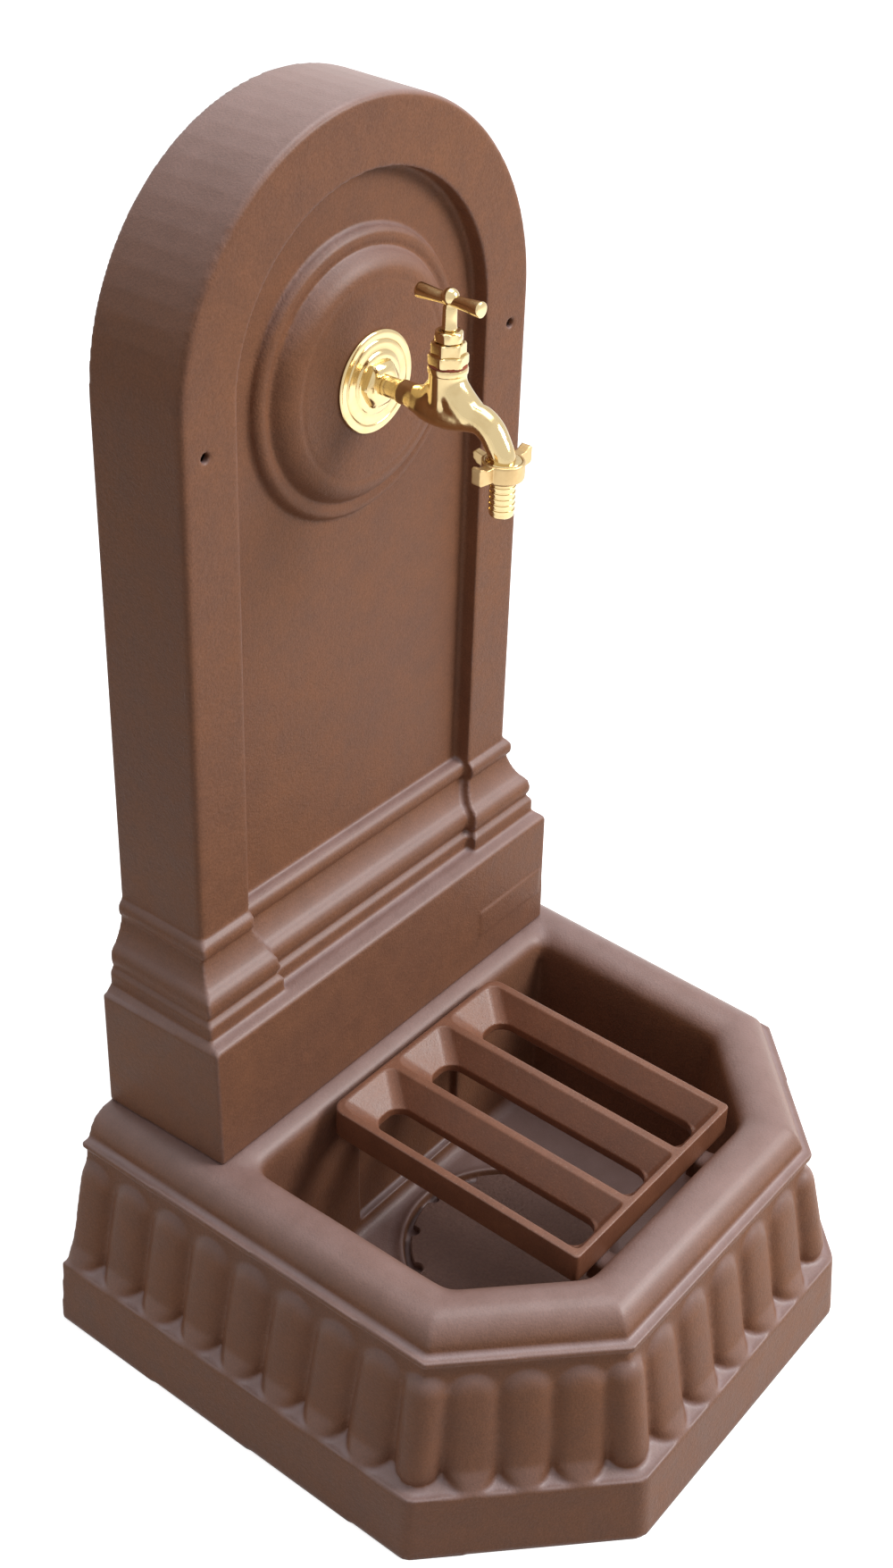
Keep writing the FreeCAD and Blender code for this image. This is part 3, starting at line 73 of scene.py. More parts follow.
def makeCamera(s):
    az, el, roll = (math.radians(s[k]) for k in ("azimuth", "elevation", "roll"))
    back = Vector((math.sin(az) * math.cos(el), -math.cos(az) * math.cos(el), math.sin(el)))
    right = (-back).cross(Vector((0, 0, 1))).normalized()
    up = right.cross(-back)
    across = right * math.cos(roll) + up * math.sin(roll)
    rise = up * math.cos(roll) - right * math.sin(roll)
    data = bpy.data.cameras.new("photoCamera")
    data.sensor_width = s["sensor"]
    wide, high = s["frame"]
    data.lens = s["focalPixels"] / high * s["sensor"]
    data.shift_x = -(s["centrePixel"][0] - wide / 2) / high
    data.shift_y = (s["centrePixel"][1] - high / 2) / high
    data.clip_start, data.clip_end = 0.05, 200
    camera = bpy.data.objects.new("photoCamera", data)
    turn = Matrix((across, rise, back)).transposed().to_4x4()
    camera.matrix_world = Matrix.Translation(s["place"]) @ turn
    scene.collection.objects.link(camera)
    scene.camera = camera


makeCamera(cameraSet)
print("camera placed")


# Light: a soft box above, a key from the right and front, and a weak even fill
lightSet = {
    "world": 0.35,
    # name, place and aim in m, size in m, watts
    "lamps": (
        ("topBox", (0.5, 0.1, 3.0), (0.0, 0.0, 0.4), 1.8, 32),
        ("keyBox", (1.5, -2.1, 2.3), (0.0, 0.0, 0.5), 1.3, 79),
    ),
    "floorTint": 0.93,
    "floorBounce": 0.38,
    "floorGlow": 0.72,
    "floorReach": 30,
    "floorDrop": 0.0004,
}


# 1 where the camera, a reflection or glass sees a surface, 0 where it only sends light on
def seenDirectly(nodes, links):
    path = nodes.new("ShaderNodeLightPath")
    first = nodes.new("ShaderNodeMath")
    first.operation = "MAXIMUM"
    links.new(path.outputs["Is Camera Ray"], first.inputs[0])
    links.new(path.outputs["Is Glossy Ray"], first.inputs[1])
    both = nodes.new("ShaderNodeMath")
    both.operation = "MAXIMUM"
    links.new(first.outputs[0], both.inputs[0])
    links.new(path.outputs["Is Transmission Ray"], both.inputs[1])
    return both.outputs[0]


def levelBySight(nodes, links, unseen, seen):
    level = nodes.new("ShaderNodeMapRange")
    links.new(seenDirectly(nodes, links), level.inputs["Value"])
    level.inputs["To Min"].default_value = unseen
    level.inputs["To Max"].default_value = seen
    return level.outputs[0]


def makeStudio(s):
    world = bpy.data.worlds.new("studio")
    scene.world = world
    world.use_nodes = True
    nodes, links = world.node_tree.nodes, world.node_tree.links
    ground = nodes["Background"]
    ground.inputs["Color"].default_value = (1, 1, 1, 1)
    links.new(levelBySight(nodes, links, s["world"], 1.0), ground.inputs["Strength"])
    for name, place, aim, size, watts in s["lamps"]:
        data = bpy.data.lights.new(name, "AREA")
        data.size = size
        data.energy = watts
        lamp = bpy.data.objects.new(name, data)
        lamp.location = place
        lamp.rotation_mode = "QUATERNION"
        lamp.rotation_quaternion = (Vector(aim) - Vector(place)).to_track_quat("-Z", "Y")
        scene.collection.objects.link(lamp)
    mesh = bpy.data.meshes.new("studioFloor")
    r = s["floorReach"]
    mesh.from_pydata([(-r, -r, 0), (r, -r, 0), (r, r, 0), (-r, r, 0)], [], [(0, 1, 2, 3)])
    floor = bpy.data.objects.new("studioFloor", mesh)
    floor.location.z = -s["floorDrop"]
    scene.collection.objects.link(floor)
    paper = bpy.data.materials.new("paleFloor")
    paper.use_nodes = True
    nodes, links = paper.node_tree.nodes, paper.node_tree.links
    surface = nodes["Principled BSDF"]
    tint = levelBySight(nodes, links, s["floorBounce"], s["floorTint"])
    links.new(tint, surface.inputs["Base Color"])
    surface.inputs["Roughness"].default_value = 0.9
    surface.inputs["Emission Color"].default_value = (1, 1, 1, 1)
    glow = levelBySight(nodes, links, 0.0, s["floorGlow"])
    links.new(glow, surface.inputs["Emission Strength"])
    mesh.materials.append(paper)


makeStudio(lightSet)
scene.view_settings.view_transform = "Standard"
print("studio lit")


# Shader groups, each built once
def newGroup(name, ins, outs):
    group = bpy.data.node_groups.new(name, "ShaderNodeTree")
    for label, kind, value in ins:
        socket = group.interface.new_socket(label, in_out="INPUT", socket_type="NodeSocket" + kind)
        socket.default_value = value
    for label, kind in outs:
        group.interface.new_socket(label, in_out="OUTPUT", socket_type="NodeSocket" + kind)
    return group, group.nodes.new("NodeGroupInput"), group.nodes.new("NodeGroupOutput")


def addNode(tree, kind, links=None, **settings):
    node = tree.nodes.new(kind)
    for key, value in settings.items():
        if hasattr(node, key):
            setattr(node, key, value)
        else:
            node.inputs[key.replace("_", " ")].default_value = value
    for key, source in (links or {}).items():
        tree.links.new(source, node.inputs[key])
    return node


def noiseAt(tree, where, scale, detail=2.0, rough=0.5):
    node = addNode(tree, "ShaderNodeTexNoise", {"Vector": where}, Detail=detail, Roughness=rough)
    if isinstance(scale, (int, float)):
        node.inputs["Scale"].default_value = scale
    else:
        tree.links.new(scale, node.inputs["Scale"])
    return node.outputs["Fac"]


def ramped(tree, value, low, high, toLow=0.0, toHigh=1.0):
    node = addNode(tree, "ShaderNodeMapRange", {"Value": value})
    node.inputs["From Min"].default_value = low
    node.inputs["From Max"].default_value = high
    node.inputs["To Min"].default_value = toLow
    node.inputs["To Max"].default_value = toHigh
    return node.outputs[0]


# Arithmetic in a shader or geometry tree; each operand is a number or a socket
def sums(tree, kind, *operands):
    node = addNode(tree, "ShaderNodeMath", operation=kind)
    for slot, operand in zip(node.inputs, operands):
        if isinstance(operand, (int, float)):
            slot.default_value = operand
        else:
            tree.links.new(operand, slot)
    return node.outputs[0]


def times(tree, *operands):
    return sums(tree, "MULTIPLY", *operands)


def plus(tree, *operands):
    return sums(tree, "ADD", *operands)


def less(tree, *operands):
    return sums(tree, "SUBTRACT", *operands)


def over(tree, *operands):
    return sums(tree, "DIVIDE", *operands)


def blended(tree, share, first, second):
    node = addNode(tree, "ShaderNodeMix", data_type="RGBA")
    tree.links.new(share, node.inputs["Factor"])
    for slot, source in ((node.inputs[6], first), (node.inputs[7], second)):
        if isinstance(source, tuple):
            slot.default_value = (*source, 1)
        else:
            tree.links.new(source, slot)
    return node.outputs[2]


# Thick matt paint on cast iron: mottled tone, a pale mauve on what faces up that is part dust and
# part painted sheen of the sky, paler edges that are part rubbed paint and part painted edge
# highlight, specks.
# Scales of the noises, and where on Normal Z the dust with its painted sheen, and the coat sheen,
# begin and are full
paintForm = {"broad": 5.0, "middle": 46.0, "patch": 90.0, "peel": 240.0, "speck": 420.0,
             "dustFacing": (0.3, 0.97), "sheenFacing": (0.2, 0.88)}


def makePaintGroup(form):
    group, given, result = newGroup("castPaint", (
        ("Paint", "Color", (0.2, 0.1, 0.06, 1)),
        ("Warm", "Color", (0.24, 0.11, 0.05, 1)),
        ("Dust", "Color", (0.34, 0.26, 0.25, 1)),
        ("Dust Share", "Float", 0.4),
        ("Rub And Edge Highlight", "Color", (0.4, 0.25, 0.2, 1)),
        ("Rub And Edge Highlight Share", "Float", 0.0),
        ("Specks", "Color", (0.6, 0.45, 0.38, 1)),
        ("Speck Share", "Float", 0.0),
        ("Grain Scale", "Float", 620.0),
        ("Sheen Share", "Float", 0.9),
        ("Roughness", "Float", 0.5),
    ), (("Colour", "Color"), ("Roughness", "Float"), ("Height", "Float"), ("Sheen", "Float")))
    where = addNode(group, "ShaderNodeTexCoord").outputs["Object"]
    shape = addNode(group, "ShaderNodeNewGeometry")
    broad = noiseAt(group, where, form["broad"], 2.0)
    middle = noiseAt(group, where, form["middle"], 3.0, 0.6)
    grain = noiseAt(group, where, given.outputs["Grain Scale"], 2.0, 0.55)
    mottle = plus(group, times(group, broad, 0.7), times(group, middle, 0.3))
    warmth = ramped(group, mottle, 0.36, 0.64)
    base = blended(group, warmth, given.outputs["Paint"], given.outputs["Warm"])
    tone = ramped(group, middle, 0.3, 0.7, 0.93, 1.06)
    fleck = ramped(group, grain, 0.3, 0.7, 0.88, 1.12)
    toned = addNode(group, "ShaderNodeVectorMath", {0: base}, operation="SCALE")
    group.links.new(times(group, tone, fleck), toned.inputs["Scale"])
    facing = addNode(group, "ShaderNodeSeparateXYZ", {0: shape.outputs["Normal"]})
    # What faces up turns pale mauve: part dust, part painted sheen of the sky on the tops
    level = ramped(group, facing.outputs["Z"], *form["dustFacing"])
    hollow = ramped(group, shape.outputs["Pointiness"], 0.5, 0.475, 0.8, 1.3)
    dustAndPaintedSheen = times(group, times(group, level, given.outputs["Dust Share"]),
                  times(group, hollow, ramped(group, middle, 0.3, 0.65, 0.75, 1.0)))
    withDustAndPaintedSheen = blended(group, dustAndPaintedSheen, toned.outputs[0], given.outputs["Dust"])
    # Convex edges turn paler: part rubbed paint, part painted edge highlight
    edge = ramped(group, shape.outputs["Pointiness"], 0.515, 0.57)
    patchy = ramped(group, noiseAt(group, where, form["patch"], 3.0, 0.7), 0.35, 0.6, 0.5, 1.0)
    rubAndEdgeHighlight = times(group, times(group, edge, patchy), given.outputs["Rub And Edge Highlight Share"])
    marked = blended(group, rubAndEdgeHighlight, withDustAndPaintedSheen, given.outputs["Rub And Edge Highlight"])
    broken = ramped(group, noiseAt(group, where, form["speck"], 2.0, 0.6), 0.64, 0.68)
    near = plus(group, times(group, edge, 0.85), times(group, level, 0.15))
    specks = times(group, times(group, broken, near), given.outputs["Speck Share"])
    group.links.new(blended(group, specks, marked, given.outputs["Specks"]), result.inputs["Colour"])
    matt = plus(group, given.outputs["Roughness"], ramped(group, middle, 0.3, 0.7, -0.04, 0.05))
    group.links.new(plus(group, matt, times(group, dustAndPaintedSheen, 0.2)), result.inputs["Roughness"])
    peel = times(group, noiseAt(group, where, form["peel"], 3.0), 0.8)
    group.links.new(plus(group, times(group, grain, 0.8), peel), result.inputs["Height"])
    group.links.new(times(group, ramped(group, facing.outputs["Z"], *form["sheenFacing"]),
                          given.outputs["Sheen Share"]), result.inputs["Sheen"])
    return group


# Worked metal: faint lathe lines, cloudy tarnish that gathers in hollows
metalForm = {"stretch": (1.0, 1.0, 0.06), "cloud": 60.0}


def makeMetalGroup(form):
    group, given, result = newGroup("workedMetal", (
        ("Metal", "Color", (0.9, 0.68, 0.33, 1)),
        ("Tarnish", "Color", (0.45, 0.27, 0.10, 1)),
        ("Tarnish Share", "Float", 0.2),
        ("Roughness", "Float", 0.12),
        ("Scratch Scale", "Float", 500.0),
    ), (("Colour", "Color"), ("Roughness", "Float"), ("Height", "Float")))
    where = addNode(group, "ShaderNodeTexCoord").outputs["Object"]
    shape = addNode(group, "ShaderNodeNewGeometry")
    stretched = addNode(group, "ShaderNodeMapping", {"Vector": where})
    stretched.inputs["Scale"].default_value = form["stretch"]
    hair = noiseAt(group, stretched.outputs[0], given.outputs["Scratch Scale"], 2.0, 0.6)
    cloud = noiseAt(group, where, form["cloud"], 3.0, 0.6)
    hollow = ramped(group, shape.outputs["Pointiness"], 0.5, 0.44)
    stained = times(group, plus(group, ramped(group, cloud, 0.5, 0.75, 0.0, 0.6), hollow),
                    given.outputs["Tarnish Share"])
    group.links.new(blended(group, stained, given.outputs["Metal"], given.outputs["Tarnish"]),
                    result.inputs["Colour"])
    marked = plus(group, given.outputs["Roughness"], ramped(group, cloud, 0.35, 0.7, -0.02, 0.06))
    group.links.new(plus(group, marked, ramped(group, hair, 0.4, 0.7, 0.0, 0.05)),
                    result.inputs["Roughness"])
    group.links.new(plus(group, times(group, hair, 0.3), times(group, cloud, 0.7)),
                    result.inputs["Height"])
    return group


paintGroup = makePaintGroup(paintForm)
metalGroup = makeMetalGroup(metalForm)
coatRoughness = 0.42  # of the sheen on what faces up


def makeFinish(name, group, values, metallic=0.0, bump=0.1, bumpMm=0.1, specular=0.5):
    material = bpy.data.materials.new(name)
    material.use_nodes = True
    tree = material.node_tree
    surface = tree.nodes["Principled BSDF"]
    surface.inputs["Metallic"].default_value = metallic
    surface.inputs["Specular IOR Level"].default_value = specular
    effect = tree.nodes.new("ShaderNodeGroup")
    effect.node_tree = group
    for key, value in values.items():
        if isinstance(value, tuple):
            value = (*value, 1)
        effect.inputs[key].default_value = value
    tree.links.new(effect.outputs["Colour"], surface.inputs["Base Color"])
    tree.links.new(effect.outputs["Roughness"], surface.inputs["Roughness"])
    if "Sheen" in effect.outputs:
        tree.links.new(effect.outputs["Sheen"], surface.inputs["Coat Weight"])
        surface.inputs["Coat Roughness"].default_value = coatRoughness
    relief = addNode(tree, "ShaderNodeBump", {"Height": effect.outputs["Height"]})
    relief.inputs["Strength"].default_value = bump
    relief.inputs["Distance"].default_value = bumpMm / 1000
    tree.links.new(relief.outputs[0], surface.inputs["Normal"])
    return material


finishes = {
    # The pale mauve for what faces up is part dust and part painted sheen of the sky
    "brownPaint": makeFinish("brownPaint", paintGroup, {
        "Paint": (0.200, 0.092, 0.056), "Warm": (0.224, 0.098, 0.052),
        "Dust": (0.365, 0.284, 0.302), "Dust Share": 0.50, "Rub And Edge Highlight": (0.34, 0.25, 0.245),
        "Rub And Edge Highlight Share": 0.35, "Specks": (0.45, 0.36, 0.33), "Speck Share": 0.15,
        "Roughness": 0.46}, bump=0.8, bumpMm=0.6, specular=0.12),
    # On both paints the paler colour of convex edges is part rubbed paint, part painted edge
    # highlight
    "gratePaint": makeFinish("gratePaint", paintGroup, {
        "Paint": (0.195, 0.078, 0.044), "Warm": (0.232, 0.092, 0.048),
        "Dust": (0.27, 0.165, 0.135), "Dust Share": 0.15, "Sheen Share": 0.35,
        "Rub And Edge Highlight": (0.34, 0.21, 0.18), "Rub And Edge Highlight Share": 0.55,
        "Specks": (0.62, 0.48, 0.38), "Speck Share": 0.9,
        "Roughness": 0.33}, bump=0.6, bumpMm=0.4, specular=0.28),
    "roughPaint": makeFinish("roughPaint", paintGroup, {
        "Paint": (0.195, 0.108, 0.086), "Warm": (0.220, 0.118, 0.088),
        "Dust": (0.165, 0.112, 0.105), "Dust Share": 0.3, "Grain Scale": 420.0,
        "Sheen Share": 0.15, "Roughness": 0.5}, bump=1.0, bumpMm=1.2, specular=0.15),
    "sheetPaint": makeFinish("sheetPaint", paintGroup, {
        "Paint": (0.175, 0.095, 0.068), "Warm": (0.19, 0.098, 0.064),
        "Dust Share": 0.1, "Roughness": 0.5}, bump=0.3, bumpMm=0.15),
    "polishedBrass": makeFinish("polishedBrass", metalGroup, {
        "Metal": (0.72, 0.560, 0.300), "Tarnish": (0.44, 0.27, 0.09),
        "Tarnish Share": 0.4, "Roughness": 0.12}, metallic=1.0, bump=0.15, bumpMm=0.1),
    "castBrass": makeFinish("castBrass", metalGroup, {
        "Metal": (0.60, 0.43, 0.215), "Tarnish": (0.32, 0.19, 0.08),
        "Tarnish Share": 0.45, "Roughness": 0.36}, metallic=1.0, bump=0.35, bumpMm=0.15),
    "plainBrass": makeFinish("plainBrass", metalGroup, {
        "Metal": (0.74, 0.56, 0.28), "Tarnish": (0.36, 0.24, 0.10),
        "Tarnish Share": 0.7, "Roughness": 0.3}, metallic=1.0, bump=0.3, bumpMm=0.1),
    "drawnCopper": makeFinish("drawnCopper", metalGroup, {
        "Metal": (0.80, 0.42, 0.27), "Tarnish": (0.30, 0.14, 0.08),
        "Tarnish Share": 0.7, "Roughness": 0.28}, metallic=1.0, bump=0.2, bumpMm=0.1),
    "zincSteel": makeFinish("zincSteel", metalGroup, {
        "Metal": (0.66, 0.66, 0.64), "Tarnish": (0.38, 0.37, 0.35),
        "Tarnish Share": 0.6, "Roughness": 0.34}, metallic=1.0, bump=0.25, bumpMm=0.1),
    "blackRubber": makeFinish("blackRubber", metalGroup, {
        "Metal": (0.02, 0.02, 0.021), "Tarnish": (0.05, 0.05, 0.05),
        "Tarnish Share": 0.5, "Roughness": 0.6}, bump=0.4, bumpMm=0.1),
    "redFibre": makeFinish("redFibre", metalGroup, {
        "Metal": (0.32, 0.07, 0.04), "Tarnish": (0.18, 0.05, 0.03),
        "Tarnish Share": 0.6, "Roughness": 0.7}, bump=0.5, bumpMm=0.1),
    "whitePtfe": makeFinish("whitePtfe", metalGroup, {
        "Metal": (0.80, 0.80, 0.78), "Tarnish": (0.60, 0.60, 0.57),
        "Tarnish Share": 0.4, "Roughness": 0.45}, bump=0.2, bumpMm=0.1),
}
recordFinish = {
    "brown_casting": "brownPaint", "red_brown_casting": "gratePaint",
    "rough_casting": "roughPaint", "cover_sheet": "sheetPaint",
    "polished_brass": "polishedBrass", "plain_brass": "plainBrass",
    "copper_pipe": "drawnCopper", "zinc_steel": "zincSteel", "black_rubber": "blackRubber",
    "red_fibre": "redFibre", "white_ptfe": "whitePtfe",
}
slotOfNode = {part["node"]: part["material_slot"] for part in frame["record"]["subparts"]}
bodyOfNode = {node: body for body, nodes in frame["record"]["behaviour"]["bodies"].items()
              for node in nodes}


def finishOfNode(node):
    return recordFinish[slotOfNode[node]]


for name, node in frame["nodes"].items():
    node.data.materials.clear()
    node.data.materials.append(finishes[finishOfNode(name)])
print("finishes mixed:", len(finishes))


# Mesh helpers
smoothing = 0.5  # factor of each pass
shareSteps = 5  # levels that a softening share is rounded to
floorReach = 0.75  # of a voxel: what lies this near to the floor is set on it


def newPiece(name, points, faces):
    mesh = bpy.data.meshes.new(name)
    mesh.from_pydata([tuple(p) for p in points], [], [tuple(f) for f in faces])
    mesh.validate()
    piece = bpy.data.objects.new(name, mesh)
    scene.collection.objects.link(piece)
    return piece


# Modifiers applied to a plain mesh
def settled(piece):
    evaluated = piece.evaluated_get(bpy.context.evaluated_depsgraph_get())
    mesh = bpy.data.meshes.new_from_object(evaluated)
    old = piece.data
    piece.modifiers.clear()
    piece.data = mesh
    bpy.data.meshes.remove(old)
    mesh.name = piece.name
    return piece


def takenApart(piece):
    mesh = piece.data
    bpy.data.objects.remove(piece)
    bpy.data.meshes.remove(mesh)


def joined(name, pieces, angle=32):
    points, faces = [], []
    for piece in pieces:
        base = len(points)
        points += [tuple(v.co) for v in piece.data.vertices]
        faces += [tuple(base + k for k in f.vertices) for f in piece.data.polygons]
        takenApart(piece)
    whole = newPiece(name, points, faces)
    shadeBy(whole, angle)
    return whole


# The CAD solid's own surface as a new mesh, with the double corners merged
def copyOfNode(name, node):
    mesh = frame["nodes"][node].data
    piece = newPiece(name, [v.co for v in mesh.vertices], [f.vertices for f in mesh.polygons])
    weld = piece.modifiers.new("weld", "WELD")
    weld.merge_threshold = 1e-6
    return settled(piece)


def tidyNormals(piece):
    work = bmesh.new()
    work.from_mesh(piece.data)
    bmesh.ops.remove_doubles(work, verts=work.verts, dist=1e-7)
    bmesh.ops.recalc_face_normals(work, faces=work.faces)
    work.to_mesh(piece.data)
    work.free()


def shadeBy(piece, angle):
    piece.data.shade_smooth()
    piece.data.set_sharp_from_angle(angle=math.radians(angle))


# One skin over everything in the piece, with every edge a little rounded; it is thinned to
# at most the wanted triangles, and keeps the dense skin's shading
def melted(piece, voxelMm, passes, most=0, floorMm=None, softer=()):
    skin = piece.modifiers.new("skin", "REMESH")
    skin.mode = "VOXEL"
    skin.voxel_size = voxelMm / 1000
    skin.use_smooth_shade = True
    if passes:
        soft = piece.modifiers.new("soft", "SMOOTH")
        soft.factor = smoothing
        soft.iterations = passes
    settled(piece)
    for shareAt, more in softer:
        softened(piece, shareAt, more)
    mesh = piece.data
    if floorMm is not None:
        places = np.empty(len(mesh.vertices) * 3, np.float32)
        mesh.vertices.foreach_get("co", places)
        heights = places[2::3]
        heights[heights < (floorMm + voxelMm * floorReach) / 1000] = floorMm / 1000
        mesh.vertices.foreach_set("co", places)
        mesh.update()
    count = 2 * len(mesh.polygons)
    if most and count > most:
        dense = bpy.data.objects.new("dense", mesh.copy())
        scene.collection.objects.link(dense)
        fewer = piece.modifiers.new("fewer", "DECIMATE")
        fewer.ratio = most / count
        settled(piece)
        piece.data.shade_smooth()
        shade = piece.modifiers.new("shade", "DATA_TRANSFER")
        shade.object = dense
        shade.use_loop_data = True
        shade.data_types_loops = {"CUSTOM_NORMAL"}
        shade.loop_mapping = "POLYINTERP_NEAREST"
        settled(piece)
        takenApart(dense)
    print(" ", piece.name, len(piece.data.polygons), "faces")
    return piece


# Smooths only where the shares, one for each vertex, are above nought
def softened(piece, shareAt, passes):
    mesh = piece.data
    places = np.empty(len(mesh.vertices) * 3, np.float32)
    mesh.vertices.foreach_get("co", places)
    places = places.reshape(-1, 3) * 1000
    shares = shareAt(places[:, 0], basinDepth / 2 - places[:, 1], places[:, 2])
    group = piece.vertex_groups.new(name="soft")
    for level in range(1, shareSteps + 1):
        chosen = np.nonzero(np.abs(shares - level / shareSteps) < 0.5 / shareSteps)[0]
        group.add([int(k) for k in chosen], level / shareSteps, "REPLACE")
    soft = piece.modifiers.new("soft", "SMOOTH")
    soft.factor = smoothing
    soft.iterations = passes
    soft.vertex_group = "soft"
    settled(piece)
    piece.vertex_groups.clear()
    return piece


# 1 between the two values and falling to 0 over the run beyond them
def between(value, low, high, run):
    return np.clip(np.minimum((value - low) / run + 1, (high - value) / run + 1), 0, 1)


# Every sharp edge of a plain copy broken by a narrow bevel
def eased(piece, widthMm, sharpFrom=30):
    edge = piece.modifiers.new("edge", "BEVEL")
    edge.width = widthMm / 1000
    edge.segments = 2
    edge.limit_method = "ANGLE"
    edge.angle_limit = math.radians(sharpFrom)
    edge.use_clamp_overlap = True
    settled(piece)
    piece.data.shade_smooth()
    even = piece.modifiers.new("even", "WEIGHTED_NORMAL")
    even.keep_sharp = False
    even.weight = 90
    return settled(piece)


# Turned on an axis from (radius, along) points; flats gives six sides of that width
def turned(name, line, middle, axis="up", flats=0, flatTurn=0.0, count=96, ring=False, angle=32):
    x, forward, up = middle
    sixth = math.pi / 3
    points, faces, rings = [], [], []
    for radius, along in line:
        if radius < 1e-6:
            rings.append([len(points)])
            spots = [(0.0, 0.0)]
        else:
            rings.append(list(range(len(points), len(points) + count)))
            spots = []
            for k in range(count):
                turn = 2 * math.pi * k / count
                reach = radius
                if flats:
                    off = (turn - math.radians(flatTurn) + sixth / 2) % sixth - sixth / 2
                    reach = min(radius, flats / 2 / math.cos(off))
                spots.append((reach * math.cos(turn), reach * math.sin(turn)))
        for a, b in spots:
            if axis == "up":
                points.append(at(x + a, forward - b, up + along))
            else:
                points.append(at(x + a, forward + along, up + b))
    pairs = list(zip(rings, rings[1:])) + ([(rings[-1], rings[0])] if ring else [])
    for low, high in pairs:
        for k in range(count):
            n = (k + 1) % count
            if len(low) == 1 and len(high) > 1:
                faces.append((low[0], high[n], high[k]))
            elif len(high) == 1 and len(low) > 1:
                faces.append((low[k], low[n], high[0]))
            elif len(low) > 1:
                faces.append((low[k], low[n], high[n], high[k]))
    piece = newPiece(name, points, faces)
    tidyNormals(piece)
    shadeBy(piece, angle)
    return piece


# Round bar along points in the middle plane, its radius changing from point to point
def drawnBar(name, points, count=48, perStep=10):
    path = []
    line = [np.array(p, float) for p in points]
    line = [2 * line[0] - line[1]] + line + [2 * line[-1] - line[-2]]
    for a, b, c, d in zip(line, line[1:], line[2:], line[3:]):
        for k in range(perStep):
            t = k / perStep
            path.append(0.5 * (2 * b + (c - a) * t + (2 * a - 5 * b + 4 * c - d) * t * t
                               + (3 * b - a - 3 * c + d) * t ** 3))
    path.append(line[-2])
    spots, faces = [], []
    for k, (forward, up, r) in enumerate(path):
        before, after = path[max(k - 1, 0)], path[min(k + 1, len(path) - 1)]
        run = np.array(after[:2]) - np.array(before[:2])
        run /= np.linalg.norm(run)
        side = np.array((-run[1], run[0]))
        for j in range(count):
            turn = 2 * math.pi * j / count
            off = side * r * math.sin(turn)
            spots.append(at(r * math.cos(turn), forward + off[0], up + off[1]))
    for k in range(len(path) - 1):
        for j in range(count):
            n = (j + 1) % count
            faces.append((k * count + j, k * count + n, (k + 1) * count + n, (k + 1) * count + j))
    last = (len(path) - 1) * count
    faces.append(tuple(range(count - 1, -1, -1)))
    faces.append(tuple(last + j for j in range(count)))
    piece = newPiece(name, spots, faces)
    tidyNormals(piece)
    return piece


# A finished piece takes its look, body and slot from the solid, and stands in its place
def fitted(piece, node, finish=None):
    piece.data.materials.clear()
    piece.data.materials.append(finishes[finish or finishOfNode(node)])
    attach(piece, bodyOfNode[node])
    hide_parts(node)


# Geometry Nodes helpers: one tree for each kind of repeated piece
def newTree(name, ins):
    tree = bpy.data.node_groups.new(name, "GeometryNodeTree")
    tree.is_modifier = True
    tree.interface.new_socket("Places", in_out="INPUT", socket_type="NodeSocketGeometry")
    for label, kind, value in ins:
        socket = tree.interface.new_socket(label, in_out="INPUT", socket_type="NodeSocket" + kind)
        if value is not None:
            socket.default_value = value
    tree.interface.new_socket("Geometry", in_out="OUTPUT", socket_type="NodeSocketGeometry")
    return tree, tree.nodes.new("NodeGroupInput"), tree.nodes.new("NodeGroupOutput")


def linked(tree, source, target):
    tree.links.new(source, target)


# Copies the shape to every point, makes it real and gives it its finish
def placedCopies(tree, given, result, shape):
    copies = addNode(tree, "GeometryNodeInstanceOnPoints",
                     {"Points": given.outputs["Places"], "Instance": shape,
                      "Rotation": given.outputs["Tilt"]})
    real = addNode(tree, "GeometryNodeRealizeInstances", {"Geometry": copies.outputs[0]})
    dressed = addNode(tree, "GeometryNodeSetMaterial",
                      {"Geometry": real.outputs[0], "Material": given.outputs["Finish"]})
    linked(tree, dressed.outputs[0], result.inputs["Geometry"])


# x, y, z, distance from the z axis and angle round it, of the points being moved
def placeFields(tree):
    spot = addNode(tree, "GeometryNodeInputPosition").outputs[0]
    parts = addNode(tree, "ShaderNodeSeparateXYZ", {0: spot}).outputs
    x, y, z = parts["X"], parts["Y"], parts["Z"]
    reach = sums(tree, "SQRT", plus(tree, times(tree, x, x), times(tree, y, y)))
    angle = sums(tree, "ARCTAN2", y, x)
    return x, y, z, reach, angle


# Moves points to a new distance from the z axis, and up by some field
def reshaped(tree, mesh, reach, newReach, x, y, z, rise=0.0):
    share = over(tree, newReach, sums(tree, "MAXIMUM", reach, 1e-6))
    place = addNode(tree, "ShaderNodeCombineXYZ")
    linked(tree, times(tree, x, share), place.inputs["X"])
    linked(tree, times(tree, y, share), place.inputs["Y"])
    linked(tree, plus(tree, z, rise), place.inputs["Z"])
    return addNode(tree, "GeometryNodeSetPosition",
                   {"Geometry": mesh, "Position": place.outputs[0]}).outputs[0]


# Head with a chamfer and a shank with a real thread, pointing down from each place
screwForm = {"headRows": 6, "edgePower": 8.0, "edgeDraw": 0.08, "rowsPerTurn": 6.0,
             "shankSides": 24}


